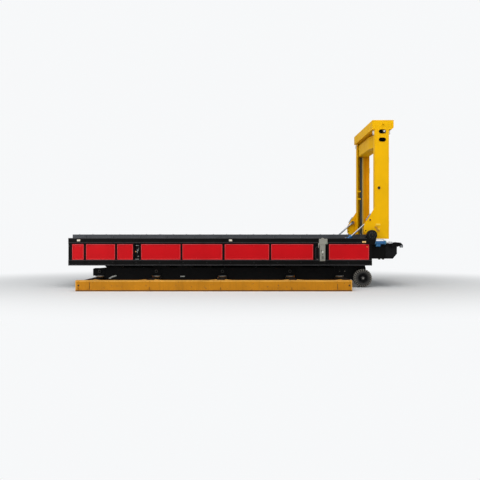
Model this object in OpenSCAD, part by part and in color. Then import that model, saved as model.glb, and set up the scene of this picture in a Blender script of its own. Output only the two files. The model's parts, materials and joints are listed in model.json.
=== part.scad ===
// Container loading platform with a belt deck, a tilting portal gate and a ladder-type floor frame.
// The machine looks along +X to its gate end, +Z is up, and the origin is on the floor at mid length.

/* [Bed] */
// Length of the bed over its end plates
bed_l = 8000; // [7600:50:8400]
// Distance from the belt's edge to the bed's side face
belt_edge = 350; // [340:5:400]
// Height of the bed's upper side rail above the floor
deck_z = 1310; // [1290:5:1340]
// Height of the upper side rail
top_rail_h = 160; // [140:5:180]
// Height of the red side panels
panel_h = 416; // [380:4:430]
// Height of the lower side rail
low_rail_h = 150; // [130:5:160]
// Width of the side rails across the bed
rail_w = 100; // [90:5:110]
// Wall of the folded side rails
rail_wall = 8; // [6:1:10]
// Thickness of a side panel
panel_t = 24; // [16:2:30]
// Step of the panels behind the rail faces
panel_inset = 10; // [6:1:16]
// Height of the belt's carrying face above the side rails
belt_rise = 95; // [85:1:110]
// Width of the carrying belt
belt_w = 1800; // [1700:10:1840]
// Thickness of the carrying belt
belt_t = 12; // [8:1:14]
// Outer radius of the belt drums
drum_r = 150; // [130:5:160]
// Radius of the return rollers
return_r = 45; // [38:1:55]
// Thickness of the deck plate under the belt
deck_t = 10; // [8:1:14]

/* [Gate] */
// Height of the gate's pivot above the side rails
pivot_rise = 79; // [75:1:90]
// Height of the gate's top above the side rails
gate_rise = 3130; // [2900:10:3300]
// Width of a gate column along the machine
column_x = 380; // [360:5:400]
// Depth of a gate column across the machine
column_y = 150; // [130:5:155]
// Wall of the gate columns
column_wall = 16; // [12:1:20]
// Gap between the pivot and the column's rear face
column_step = 96; // [90:1:104]
// Height of the cap beam
cap_h = 240; // [220:5:260]
// Length of the cap beam's section along the machine
cap_x = 565; // [540:5:600]
// Height of the header beam
header_h = 334; // [300:2:350]
// Length of the header beam's section along the machine
header_x = 310; // [280:5:330]
// Radius of the gate's pivot pin
pivot_pin_r = 40; // [34:1:46]
// Outer radius of the black pivot hubs
pivot_hub_r = 132; // [120:2:138]

/* [Cylinders] */
// Radius of the tilt cylinders' barrels
tilt_barrel_r = 42; // [38:1:46]
// Radius of the tilt cylinders' rods
tilt_rod_r = 24; // [20:1:28]
// Length of a tilt cylinder between its pins
tilt_pin_l = 1349; // [1320:1:1370]
// Radius of the docking cylinders' barrels
dock_barrel_r = 44; // [40:1:46]
// Radius of the docking cylinders' rods
dock_rod_r = 18; // [15:1:22]

/* [Nose] */
// Reach of the docking hooks past the bed
nose_reach = 825; // [800:5:850]
// Length of the nose box
nose_l = 690; // [660:5:710]
// Distance from the bed's side face to the nose box's cheek
nose_in = 120; // [110:5:150]

/* [Running gear] */
// Outer diameter of the tyres
tyre_d = 488; // [470:2:500]
// Width of the tyres
tyre_w = 140; // [120:5:150]
// Diameter of the rims
rim_d = 250; // [230:5:270]
// Radius of the stub axles
stub_r = 25; // [20:1:30]
// Height of the undercarriage rails
chassis_h = 219; // [200:1:230]
// Width of the undercarriage rails
chassis_w = 110; // [90:5:120]

/* [Floor frame] */
// Distance from the bed's left end to the floor frame's
base_in_left = 490; // [440:10:540]
// Distance from the floor frame's right end to the bed's
base_in_right = 710; // [660:10:760]
// Distance from the bed's side to the floor frame's side
base_out = 900; // [700:20:1000]
// Height of the floor frame's beams
base_h = 268; // [260:2:272]
// Flange width of the floor frame's side beams
base_flange_w = 120; // [100:5:140]
// Flange thickness of the floor frame's side beams
base_flange_t = 16; // [12:1:20]

/* [Hidden] */
$fn = 48;
// Running gap between a pin and its bore
run_gap = 0.05;
// Face gap between moving pieces
face_gap = 5;

// Bed levels and ends
bed_w = belt_w + 2 * belt_edge;
nose_w = bed_w - 2 * nose_in;
x0 = -(bed_l + nose_reach) / 2;
x1 = x0 + bed_l;
panel_z1 = deck_z - top_rail_h;
panel_z0 = panel_z1 - panel_h;
bed_z0 = panel_z0 - low_rail_h;
side_y = bed_w / 2;
rail_in_y = side_y - rail_w;
belt_z = deck_z + belt_rise;
deck_half = belt_w / 2 + 70;

// Places along the bed are given for a length of 8000 and move with its real length
function along(places) = places * bed_l / 8000;

// Red panels along the bed: start from the left end, length
PANELS = along([[100, 305], [466, 764], [1286, 414], [1917, 1037], [3006, 1052], [4118, 1173], [5343, 1107],
          [6867, 1056]]);
// Uprights between the panels: start from the left end, length
POSTS = along([[0, 100], [405, 61], [1230, 56], [1700, 40], [1875, 42], [2954, 52], [4058, 60], [5291, 52],
         [6450, 50], [6815, 52], [7923, 77]]);

// Gate levels, measured from the pivot
pivot_x = x1;
pivot_z = deck_z + pivot_rise;
gate_y = rail_in_y - face_gap - 5;
column_x0 = pivot_x + column_step;
column_z0 = deck_z - 23;
gate_z1 = deck_z + gate_rise;
cap_z0 = gate_z1 - cap_h;
header_z1 = cap_z0 - 60;
column_in_y = gate_y - column_y;
web_t = 25;
column_notch = 30;
guide_x = 100;

// Tilt cylinders: eye on the gate, base pin in the bed
eye_dx = -24;
eye_dz = 399;
tilt_angle = 41.5;
eye_x = pivot_x + eye_dx;
eye_z = pivot_z + eye_dz;
tilt_base_x = eye_x - tilt_pin_l * cos(tilt_angle);
tilt_base_z = eye_z - tilt_pin_l * sin(tilt_angle);
tilt_y = gate_y - web_t - 12 - tilt_barrel_r;
tilt_barrel_l = 650;
tilt_eye_w = 44;
tilt_eye_r = 48;
tilt_pin_r = 22;

// Stringers over the undercarriage and cross members on them, from the left end
stringer_h = 60;
cross_w = 80;
CROSS_U = concat(along([700, 1740, 2780, 3820, 4860, 5900]), [tilt_base_x - x0 - cross_w / 2]);
cross_z1 = panel_z0;
drum_z = belt_z - belt_t - drum_r;
drum_inset = drum_r + belt_t;

// Docking hooks and their cylinders
dock_y = side_y - 55;
dock_z = deck_z - 121;
dock_base_x = x1 + 50;
dock_eye_x = x1 + nose_reach - 295;
hook_pivot_x = dock_eye_x + 13;
hook_pivot_z = dock_z - 92;
hook_t = 30;
dock_barrel_l = 330;
dock_pin_r = 12;
hook_pin_r = 20;

// Undercarriage
foot_t = 14;
saddle_t = 18;
skirt_z0 = 170;
chassis_z0 = base_h + foot_t + saddle_t;
chassis_z1 = chassis_z0 + chassis_h;
chassis_y = side_y - 295;
chassis_x0 = x0 + 582;
chassis_x1 = x1 - 110;
chassis_slope = 355;
axle_x = x1 - 220;
axle_z = tyre_d / 2;
wheel_gap = 30;
wheel_y = chassis_y + chassis_w / 2 + wheel_gap + tyre_w / 2;
tyre_lugs = 24;
lug_depth = 20;
lug_gap = 24;
// Hangers on the undercarriage rails: start and length at the top, from the left end
HANGERS = along([[885, 540], [2143, 520], [2800, 500], [5700, 540], [7010, 560]]);
// Thin spacers between the rails and the bed: place from the left end
SPACERS = along([1830, 3700, 4900, 5350, 6650]);

// Floor frame
base_x0 = x0 + base_in_left;
base_l = bed_l - base_in_left - base_in_right;
base_y = side_y + base_out;
// Cross beams of the floor frame: shares of its length
CROSS_BEAMS = base_l * [0.0404, 0.264, 0.5237, 0.789, 0.9853];
cross_beam_w = 200;
anchor_in = 150;
anchor_r = 11;

module mirror_y() {
    children();
    mirror([0, 1, 0]) children();
}

// Box between two corners
module block(lo, hi) {
    translate(lo) cube([hi[0] - lo[0], hi[1] - lo[1], hi[2] - lo[2]]);
}

// Plate cut from a side outline in x and z, from y_lo to y_hi
module side_plate(y_lo, y_hi, points) {
    translate([0, y_hi, 0]) rotate([90, 0, 0]) linear_extrude(y_hi - y_lo) polygon(points);
}

// Round bar along Y
module bar_y(x, z, y_lo, y_hi, r) {
    translate([x, y_hi, z]) rotate([90, 0, 0]) cylinder(r = r, h = y_hi - y_lo);
}

module floor_side_beams() {
    color([0.73, 0.47, 0.1]) mirror_y() difference() {
        union() {
            block([base_x0, -base_y, 0], [base_x0 + base_l, -base_y + base_flange_w, base_h]);
            block([base_x0, -base_y - 8, 0], [base_x0 + base_l, -base_y, 34]);
        }
        block([base_x0 - 1, -base_y + 10, base_flange_t],
              [base_x0 + base_l + 1, -base_y + base_flange_w + 1, base_h - base_flange_t]);
        for (xa = [base_x0 + anchor_in, base_x0 + base_l - anchor_in])
            translate([xa, -base_y + 70, -1]) cylinder(r = anchor_r, h = base_flange_t + 2);
    }
}

module floor_cross_beams() {
    color([0.73, 0.47, 0.1]) for (u = CROSS_BEAMS) {
        xc = base_x0 + u;
        yy = base_y - base_flange_w;
        difference() {
            block([xc - cross_beam_w / 2, -yy, 0], [xc + cross_beam_w / 2, yy, base_h]);
            for (s = [-1, 1]) translate([xc + s * (cross_beam_w / 2 - 40), 0, base_h / 2])
                cube([84, 2 * yy + 2, base_h - 2 * base_flange_t], center = true);
        }
    }
}

// Pedestals welded on the cross beams
module foot_plates() {
    color([0.73, 0.47, 0.1]) mirror_y() for (u = CROSS_BEAMS)
        side_plate(-chassis_y - 70, -chassis_y + 70, [[base_x0 + u - 90, base_h], [base_x0 + u + 90, base_h],
            [base_x0 + u + 60, base_h + foot_t], [base_x0 + u - 60, base_h + foot_t]]);
}

// Steel saddles that carry the undercarriage rails
module foot_blocks() {
    z_lo = base_h + foot_t;
    color([0.45, 0.45, 0.44]) mirror_y() for (u = CROSS_BEAMS)
        side_plate(-chassis_y - 80, -chassis_y + 80, [[base_x0 + u - 60, z_lo], [base_x0 + u + 60, z_lo],
            [base_x0 + u + 105, chassis_z0], [base_x0 + u - 105, chassis_z0]]);
}

// Skirts under the undercarriage rails, between the feet
module rail_skirts() {
    color([0.08, 0.08, 0.08]) mirror_y() for (k = [0 : len(CROSS_BEAMS) - 2])
        block([base_x0 + CROSS_BEAMS[k] + 130, -chassis_y - chassis_w / 2, skirt_z0],
              [base_x0 + CROSS_BEAMS[k + 1] - 130, -chassis_y - chassis_w / 2 + 12, chassis_z0]);
}

// Plates with a lug ring on the outer faces of the undercarriage rails
module rail_lugs() {
    ya = -chassis_y - chassis_w / 2;
    zc = chassis_z0 + 120;
    color([0.13, 0.13, 0.13]) mirror_y() for (u = CROSS_BEAMS) {
        xc = base_x0 + u;
        block([xc - 140, ya - 14, chassis_z0 + 8], [xc + 140, ya, chassis_z1 - 12]);
        difference() {
            bar_y(xc, zc, ya - 44, ya - 14, 44);
            bar_y(xc, zc, ya - 45, ya - 20, 24);
        }
    }
}

module chassis_rails() {
    color([0.09, 0.09, 0.09]) mirror_y()
        side_plate(-chassis_y - chassis_w / 2, -chassis_y + chassis_w / 2,
            [[chassis_x0, chassis_z0], [chassis_x1, chassis_z0], [chassis_x1, chassis_z1],
             [chassis_x0 + chassis_slope, chassis_z1], [chassis_x0, chassis_z1 - 31]]);
}

module chassis_cross_tubes() {
    y_in = chassis_y - chassis_w / 2;
    color([0.09, 0.09, 0.09]) for (u = concat(CROSS_BEAMS, base_l * [0.3938, 0.6563]))
        block([base_x0 + u - 50, -y_in, chassis_z0 + 40], [base_x0 + u + 50, y_in, chassis_z0 + 160]);
}

module hanger_blocks() {
    slope = 60;
    color([0.08, 0.08, 0.08]) mirror_y() for (h = HANGERS) {
        xa = x0 + h[0];
        xb = xa + h[1];
        side_plate(-chassis_y - chassis_w / 2, -chassis_y + chassis_w / 2,
            [[xa + slope, chassis_z1], [xb - slope, chassis_z1], [xb, bed_z0], [xa, bed_z0]]);
    }
}

module spacer_posts() {
    color([0.08, 0.08, 0.08]) mirror_y() for (u = SPACERS)
        block([x0 + u - 35, -chassis_y - 40, chassis_z1], [x0 + u + 35, -chassis_y + 40, bed_z0]);
}

module axle_beam() {
    color([0.1, 0.1, 0.1]) union() {
        block([axle_x - 55, -chassis_y - 45, axle_z - 45], [axle_x + 55, chassis_y + 45, chassis_z0]);
        bar_y(axle_x, axle_z, -wheel_y - tyre_w / 2 - 8, wheel_y + tyre_w / 2 + 8, stub_r);
    }
}

module tyre(side) {
    step = 360 / tyre_lugs;
    color([0.2, 0.2, 0.19]) translate([axle_x, side * wheel_y, axle_z]) rotate([90, 0, 0]) difference() {
        rotate_extrude($fn = 96) polygon([
            [rim_d / 2, -tyre_w * 0.36], [tyre_d * 0.36, -tyre_w * 0.5], [tyre_d * 0.46, -tyre_w * 0.47],
            [tyre_d * 0.5, -tyre_w * 0.36], [tyre_d * 0.5, tyre_w * 0.36], [tyre_d * 0.46, tyre_w * 0.47],
            [tyre_d * 0.36, tyre_w * 0.5], [rim_d / 2, tyre_w * 0.36]]);
        for (k = [0 : tyre_lugs - 1]) for (s = [-1, 1])
            rotate([0, 0, (k + s / 4) * step]) translate([tyre_d / 2 - lug_depth, -lug_gap / 2, s * tyre_w * 0.36 - tyre_w * 0.22])
                cube([lug_depth + 5, lug_gap, tyre_w * 0.44]);
    }
}
module tyre_near() tyre(-1);
module tyre_far() tyre(1);

module hub(side) {
    color([0.07, 0.07, 0.07]) translate([axle_x, side * wheel_y, axle_z]) rotate([0, 0, side < 0 ? 0 : 180])
        rotate([90, 0, 0]) rotate_extrude($fn = 64) polygon([
            [stub_r + run_gap, -50], [60, -50], [60, -12], [rim_d / 2 - 16, -12], [rim_d / 2 - 16, -50],
            [rim_d / 2, -50], [rim_d / 2, 50], [rim_d / 2 - 14, 50], [rim_d / 2 - 14, 14], [62, 14],
            [55, 60], [stub_r + run_gap, 60]]);
}
module hub_near() hub(-1);
module hub_far() hub(1);

// Side rail as a folded channel that opens inward
module side_rail(z_lo, z_hi) {
    difference() {
        block([x0, -side_y, z_lo], [x1, -rail_in_y, z_hi]);
        block([x0 - 1, -side_y + rail_wall, z_lo + rail_wall], [x1 + 1, -rail_in_y + 1, z_hi - rail_wall]);
    }
}

module upper_side_rails() {
    color([0.11, 0.11, 0.12]) mirror_y() side_rail(panel_z1, deck_z);
}

module lower_side_rails() {
    color([0.1, 0.1, 0.1]) mirror_y() side_rail(bed_z0, panel_z0);
}

module bed_posts() {
    color([0.08, 0.08, 0.08]) mirror_y() for (p = POSTS)
        block([x0 + p[0], -side_y + panel_inset, panel_z0], [x0 + p[0] + p[1], -rail_in_y, panel_z1]);
}

module end_frames() {
    window = rail_in_y * 0.26;
    color([0.09, 0.09, 0.09]) for (xe = [x0, x1 - 12])
        difference() {
            block([xe, -rail_in_y, bed_z0], [xe + 12, rail_in_y, panel_z1]);
            for (k = [-2:2]) translate([xe - 1, (k * 1.4 - 0.5) * window, bed_z0 + 130]) cube([14, window, 260]);
        }
}

module bed_stringers() {
    color([0.09, 0.09, 0.09]) mirror_y()
        block([x0 + 12, -chassis_y - chassis_w / 2, bed_z0], [x1 - 12, -chassis_y + chassis_w / 2, bed_z0 + stringer_h]);
}

module bed_cross_members() {
    color([0.09, 0.09, 0.09]) for (u = CROSS_U)
        block([x0 + u, -rail_in_y, bed_z0 + stringer_h], [x0 + u + cross_w, rail_in_y, cross_z1]);
}

module deck_uprights() {
    color([0.09, 0.09, 0.09]) mirror_y() for (u = CROSS_U)
        block([x0 + u, -deck_half + 20, cross_z1], [x0 + u + cross_w, -belt_w / 2 - 10, belt_z - belt_t - deck_t - 60]);
}

module deck_plate() {
    xa = x0 + 2 * drum_r + belt_t + 10;
    xb = x1 - 2 * drum_r - belt_t - 10;
    zt = belt_z - belt_t;
    color([0.3, 0.31, 0.34]) union() {
        block([xa, -deck_half + 40, zt - deck_t], [xb, deck_half - 40, zt]);
        mirror_y() block([xa, -deck_half + 40, zt - deck_t - 60], [xb, -deck_half + 150, zt - deck_t]);
    }
}

module side_covers() {
    color([0.29, 0.3, 0.34]) mirror_y() block([x0, -rail_in_y, deck_z - 6], [x1 - 1300, -deck_half, deck_z]);
}

// Belt loop round both drums, from the side
module belt_outline(grow) {
    for (xc = [x0 + drum_r + belt_t, x1 - drum_r - belt_t])
        translate([xc, belt_z - belt_t - drum_r]) circle(r = drum_r + grow, $fn = 72);
    translate([x0 + drum_r + belt_t, belt_z - belt_t - 2 * drum_r - grow])
        square([bed_l - 2 * (drum_r + belt_t), 2 * (drum_r + grow)]);
}

module carrying_belt() {
    color([0.13, 0.12, 0.12]) translate([0, belt_w / 2, 0]) rotate([90, 0, 0]) linear_extrude(belt_w)
        difference() {
            belt_outline(belt_t);
            belt_outline(0);
        }
}

module drum(xc) {
    color([0.35, 0.35, 0.36]) union() {
        bar_y(xc, drum_z, -belt_w / 2 - 15, belt_w / 2 + 15, drum_r - 0.3);
        bar_y(xc, drum_z, -deck_half - 20, deck_half + 20, 30);
    }
}
module drive_drum() drum(x1 - drum_inset);
module tail_drum() drum(x0 + drum_inset);

// Bearing plate of a drum, welded to the end frame; side is -1 at the left end and 1 at the right
module drum_bearing(side) {
    xe = side < 0 ? x0 + 12 : x1 - 12;
    xc = side < 0 ? x0 + drum_inset : x1 - drum_inset;
    difference() {
        side_plate(-belt_w / 2 - 60, -belt_w / 2 - 28, [[xe, panel_z1 - 130], [xe, panel_z1], [xe - side * 60, deck_z],
            [xc - side * 60, deck_z], [xc - side * 60, drum_z - 50], [xc - side * 20, panel_z1 - 130]]);
        bar_y(xc, drum_z, -belt_w / 2 - 70, -belt_w / 2 - 20, 30 + run_gap);
    }
}

module drum_bearings() {
    color([0.1, 0.1, 0.1]) mirror_y() for (side = [-1, 1]) drum_bearing(side);
}

module return_rollers() {
    zc = belt_z - 2 * belt_t - 2 * drum_r - return_r - 0.3;
    color([0.4, 0.4, 0.41]) for (u = CROSS_U) union() {
        bar_y(x0 + u + cross_w / 2, zc, -belt_w / 2, belt_w / 2, return_r);
        bar_y(x0 + u + cross_w / 2, zc, -belt_w / 2 - 10, belt_w / 2 + 10, 14);
    }
}

module side_guides() {
    color([0.26, 0.2, 0.16]) mirror_y() union() {
        block([x0 + 20, -deck_half, deck_z], [x1 - 20, -deck_half + 20, belt_z]);
        block([x0 + 20, -deck_half, belt_z - belt_t], [x1 - 20, -belt_w / 2 - 5, belt_z]);
    }
}

module panels() {
    color([0.78, 0.09, 0.12]) for (p = PANELS)
        block([x0 + p[0], -side_y + panel_inset, panel_z0], [x0 + p[0] + p[1], -side_y + panel_inset + panel_t, panel_z1]);
}
module panels_near() panels();
module panels_far() mirror([0, 1, 0]) panels();

module valve_bank() {
    xa = x0 + along(1745);
    color([0.25, 0.25, 0.24]) union() {
        block([xa, -side_y + 40, panel_z0], [xa + 125, -side_y + 90, panel_z0 + 30]);
        block([xa + 20, -side_y + 40, panel_z0 + 30], [xa + 105, -side_y + 85, panel_z1 - 60]);
        for (k = [0:3]) bar_y(xa + 62, panel_z0 + 90 + k * 70, -side_y + 20, -side_y + 41, 22);
    }
}

module control_box() {
    xa = x0 + along(6625);
    color([0.55, 0.55, 0.52]) union() {
        block([xa, -side_y, panel_z0], [xa + 140, -side_y + 88, panel_z1]);
        side_plate(-side_y - 22, -side_y, [[xa, panel_z0 - 30], [xa + 140, panel_z0 - 30],
            [xa + 140, panel_z1], [xa + 196, panel_z1], [xa + 196, deck_z - 24], [xa + 116, deck_z - 24],
            [xa + 66, deck_z + 6], [xa + 24, deck_z - 24], [xa - 24, deck_z - 24], [xa - 24, panel_z1 + 20],
            [xa - 44, panel_z1 + 20], [xa - 44, panel_z1 - 96], [xa - 20, panel_z1 - 96], [xa - 20, panel_z1 - 10],
            [xa, panel_z1 - 10]]);
        bar_y(xa + 75, panel_z0 + 224, -side_y - 34, -side_y - 22, 22);
    }
}

// Hose loops beside the control box: two straight runs joined by half rings at both ends
module control_hoses() {
    loop_r = along(42);
    hose_r = 11;
    z_lo = panel_z0 + hose_r + loop_r + 0.3;
    z_hi = panel_z1 - hose_r - loop_r - 60;
    color([0.07, 0.07, 0.07]) for (k = [0, 1]) translate([x0 + along(6562.5) + k * 6, -side_y + 28 + k * 26, 0]) union() {
        for (s = [-1, 1]) translate([s * loop_r, 0, z_lo]) cylinder(r = hose_r, h = z_hi - z_lo);
        translate([0, 0, z_lo]) rotate([90, 180, 0]) rotate_extrude(angle = 180) translate([loop_r, 0]) circle(r = hose_r);
        translate([0, 0, z_hi]) rotate([90, 0, 0]) rotate_extrude(angle = 180) translate([loop_r, 0]) circle(r = hose_r);
    }
}

module marker_lamps() {
    color([0.9, 0.85, 0.8]) mirror_y() for (u = concat(along([217, 4220]), [bed_l - 265]))
        block([x0 + u, -side_y - 8, deck_z - 90], [x0 + u + 110, -side_y, deck_z - 35]);
}

module pivot_brackets() {
    color([0.08, 0.08, 0.08]) mirror_y() difference() {
        union() {
            side_plate(-side_y, -rail_in_y, [[pivot_x - 190, deck_z], [pivot_x, deck_z],
                [pivot_x + 118, pivot_z - 60], [pivot_x, pivot_z], [pivot_x - 118, pivot_z + 20]]);
            side_plate(-side_y - 20, -side_y, [[pivot_x - 158, panel_z1 - 8], [pivot_x + 62, panel_z1 - 8],
                [pivot_x + 118, pivot_z - 60], [pivot_x, pivot_z], [pivot_x - 125, pivot_z - 42]]);
            bar_y(pivot_x, pivot_z, -side_y - 20, -rail_in_y, pivot_hub_r);
        }
        bar_y(pivot_x, pivot_z, -side_y - 30, -rail_in_y + 10, pivot_pin_r + run_gap);
        block([pivot_x - 200, -side_y, deck_z - 90], [pivot_x, -rail_in_y + 10, deck_z]);
    }
}

module pivot_pins() {
    color([0.1, 0.1, 0.1]) mirror_y() union() {
        bar_y(pivot_x, pivot_z, -side_y - 24, -gate_y + web_t + 40, pivot_pin_r);
        bar_y(pivot_x, pivot_z, -side_y - 36, -side_y - 24, pivot_pin_r + 22);
    }
}

// Half of the nose: cheek plate with its chamfered lower corner
module nose_box() {
    z_top = deck_z - 132;
    z_low = deck_z - 550;
    xe = x1 + nose_l;
    color([0.07, 0.07, 0.07]) union() {
        mirror_y() side_plate(-nose_w / 2, -nose_w / 2 + 20, [[x1, z_low], [xe - 110, z_low], [xe, z_low + 130],
            [xe, z_top], [x1 + 370, z_top], [x1 + 370, z_top - 48], [x1, z_top - 48]]);
        block([x1 + 380, -nose_w / 2 + 20, z_top - 60], [xe, nose_w / 2 - 20, z_top - 40]);
        block([xe - 20, -nose_w / 2 + 20, z_low + 130], [xe, nose_w / 2 - 20, z_top - 60]);
        block([x1, -nose_w / 2 + 20, z_low], [xe - 110, nose_w / 2 - 20, z_low + 20]);
    }
}

module dock_brackets() {
    color([0.2, 0.2, 0.2]) mirror_y() union() {
        block([x1, -dock_y - 40, dock_z - 40], [x1 + 12, -dock_y + 40, dock_z + 40]);
        for (s = [-1, 1]) side_plate(-dock_y + s * 26 - 8, -dock_y + s * 26 + 8,
            [[x1 + 12, dock_z - 36], [dock_base_x + 14, dock_z - 36], [dock_base_x + 14, dock_z + 36], [x1 + 12, dock_z + 36]]);
        bar_y(dock_base_x, dock_z, -dock_y - 34, -dock_y + 34, dock_pin_r);
        bar_y(hook_pivot_x, hook_pivot_z, -dock_y - hook_t / 2 - 14, -nose_w / 2, hook_pin_r);
    }
}

module hook_outline() {
    xe = x1 + nose_reach;
    polygon([[hook_pivot_x - 45, hook_pivot_z - 45], [hook_pivot_x + 60, hook_pivot_z - 45],
        [xe - 125, hook_pivot_z - 12], [xe - 80, hook_pivot_z - 6], [xe - 80, hook_pivot_z - 40],
        [xe, hook_pivot_z - 40], [xe, hook_pivot_z + 30],
        [xe - 55, hook_pivot_z + 90], [xe - 205, hook_pivot_z + 104],
        [dock_eye_x + 24, dock_z], [dock_eye_x - 24, dock_z], [hook_pivot_x - 45, hook_pivot_z + 20]]);
    translate([dock_eye_x, dock_z]) circle(r = 24);
}

module dock_hooks() {
    color([0.1, 0.1, 0.1]) mirror_y() difference() {
        translate([0, -dock_y + hook_t / 2, 0]) rotate([90, 0, 0]) linear_extrude(hook_t) hook_outline();
        bar_y(hook_pivot_x, hook_pivot_z, -dock_y - 40, -dock_y + 40, hook_pin_r + run_gap);
    }
}

module dock_barrels() {
    color([0.14, 0.39, 0.59]) mirror_y() difference() {
        union() {
            translate([dock_base_x + 30, -dock_y, dock_z]) rotate([0, 90, 0])
                cylinder(r = dock_barrel_r, h = dock_barrel_l - 30);
            translate([dock_base_x + dock_barrel_l - 28, -dock_y, dock_z]) rotate([0, 90, 0])
                cylinder(r = dock_barrel_r + 4, h = 28);
            for (u = [62, dock_barrel_l - 50]) translate([dock_base_x + u, -dock_y, dock_z + 30]) cylinder(r = 11, h = 32);
            bar_y(dock_base_x, dock_z, -dock_y - 15, -dock_y + 15, 26);
            block([dock_base_x, -dock_y - 15, dock_z - 22], [dock_base_x + 32, -dock_y + 15, dock_z + 22]);
            translate([dock_base_x + 66, -dock_y, dock_z - 72]) rotate([0, 90, 0]) cylinder(r = 36, h = 112);
        }
        bar_y(dock_base_x, dock_z, -dock_y - 20, -dock_y + 20, dock_pin_r + run_gap);
        translate([dock_base_x + 70, -dock_y, dock_z]) rotate([0, 90, 0])
            cylinder(r = dock_rod_r + run_gap, h = dock_barrel_l);
    }
}

// Rods end in a fork whose cheeks lie on both sides of the hook, with the heads of its pin
module dock_rods() {
    fork_y = hook_t / 2 + 1;
    color([0.85, 0.85, 0.86]) mirror_y() union() {
        translate([dock_base_x + 150, -dock_y, dock_z]) rotate([0, 90, 0])
            cylinder(r = dock_rod_r, h = dock_eye_x - dock_base_x - 150 - 50);
        translate([dock_eye_x - 80, -dock_y, dock_z]) rotate([0, 90, 0]) cylinder(r = 30, h = 48);
        for (s = [-1, 1]) {
            block([dock_eye_x - 60, -dock_y + s * (fork_y + 6) - 6, dock_z - 22],
                  [dock_eye_x, -dock_y + s * (fork_y + 6) + 6, dock_z + 22]);
            bar_y(dock_eye_x, dock_z, -dock_y + s * (fork_y + 6) - 6, -dock_y + s * (fork_y + 6) + 6, 22);
            bar_y(dock_eye_x, dock_z, -dock_y + s * (fork_y + 15) - 3, -dock_y + s * (fork_y + 15) + 3, dock_pin_r);
        }
    }
}

// Side outline of a gate column with its pivot gusset
module column_outline() {
    difference() {
        union() {
            polygon([[column_x0 + column_notch, column_z0], [column_x0 + column_x, column_z0],
                [column_x0 + column_x, cap_z0], [column_x0, cap_z0], [column_x0, pivot_z + 720],
                [pivot_x - 184, pivot_z + 279], [pivot_x - 178, pivot_z + 80], [pivot_x, pivot_z - 60],
                [column_x0 + column_notch, pivot_z - 50]]);
            translate([pivot_x, pivot_z]) circle(r = 118);
        }
        translate([pivot_x, pivot_z]) circle(r = pivot_pin_r + run_gap);
        for (dz = [cap_z0 - 60, cap_z0 - 277]) for (dx = [-38, 38])
            translate([column_x0 + column_x / 2 + 15 + dx, dz]) circle(r = 56);
        translate([column_x0 + 118, deck_z + 1330]) circle(r = 41);
        translate([pivot_x - 141, pivot_z + 120]) circle(r = 16);
        translate([eye_x, eye_z]) circle(r = tilt_pin_r + run_gap);
    }
}

module gate_column() {
    color([0.94, 0.72, 0.04]) union() {
        translate([0, -gate_y + web_t, 0]) rotate([90, 0, 0]) linear_extrude(web_t) column_outline();
        block([column_x0, -gate_y + web_t, pivot_z + 40], [column_x0 + column_wall, -column_in_y, cap_z0]);
        block([column_x0 + column_x - column_wall, -gate_y + web_t, column_z0],
              [column_x0 + column_x, -column_in_y, cap_z0]);
        block([column_x0 + column_notch, -gate_y + web_t, column_z0],
              [column_x0 + column_x - column_wall, -column_in_y, column_z0 + 16]);
        block([column_x0 + column_wall, -column_in_y - 12, deck_z + 1180],
              [column_x0 + guide_x + 12, -column_in_y, deck_z + 1220]);
        difference() {
            bar_y(eye_x, eye_z, -gate_y + web_t - 1, -tilt_y - tilt_rod_r - 3, 36);
            bar_y(eye_x, eye_z, -gate_y, -tilt_y, tilt_pin_r + run_gap);
        }
    }
}
module gate_column_near() gate_column();

// Dark guide channels on the inner faces of the columns
module column_guides() {
    z_lo = column_z0 + 16;
    z_hi = header_z1 - header_h - 10;
    color([0.2, 0.21, 0.19]) mirror_y() union() {
        block([column_x0 + guide_x, -gate_y + web_t, z_lo], [column_x0 + guide_x + 92, -gate_y + web_t + 12, z_hi]);
        for (dx = [guide_x, guide_x + 80])
            block([column_x0 + dx, -gate_y + web_t, z_lo], [column_x0 + dx + 12, -column_in_y - 16, z_hi]);
    }
}

module tilt_eye_pins() {
    color([0.1, 0.1, 0.1]) mirror_y() union() {
        bar_y(eye_x, eye_z, -gate_y, -tilt_y - tilt_rod_r - 3, tilt_pin_r);
        bar_y(eye_x, eye_z, -gate_y - 6, -gate_y, tilt_pin_r + 6);
    }
}
module gate_column_far() mirror([0, 1, 0]) gate_column();

module gate_cap_beam() {
    xa = column_x0 - 60;
    xb = xa + cap_x;
    wall = 12;
    color([0.94, 0.72, 0.04]) difference() {
        side_plate(-gate_y, gate_y, [[xa, cap_z0], [xb - 45, cap_z0], [xb, cap_z0 + 45], [xb, gate_z1], [xa, gate_z1]]);
        side_plate(-gate_y + 20, gate_y - 20, [[xa + wall, cap_z0 + wall], [xb - 50, cap_z0 + wall], [xb - wall, cap_z0 + 50],
            [xb - wall, gate_z1 - wall], [xa + wall, gate_z1 - wall]]);
        mirror_y() bar_y(xa + cap_x / 2, cap_z0 + 120, -gate_y - 1, -gate_y + 21, 18);
    }
}

module gate_header_beam() {
    xa = column_x0 + 43;
    xb = xa + header_x;
    ya = column_in_y;
    wall = 12;
    z_lo = header_z1 - header_h;
    color([0.9, 0.68, 0.05]) union() {
        difference() {
            translate([0, 0, z_lo]) linear_extrude(header_h)
                polygon([[xa + 120, -ya], [xa, -300], [xa, ya], [xb, ya], [xb, -ya]]);
            translate([0, 0, z_lo + wall]) linear_extrude(header_h - 2 * wall)
                polygon([[xa + 134, -ya + wall], [xa + wall, -298], [xa + wall, ya - wall], [xb - wall, ya - wall],
                         [xb - wall, -ya + wall]]);
        }
        mirror_y() block([xb - 25, -gate_y + web_t, z_lo], [xb, -ya, header_z1]);
    }
}

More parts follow.
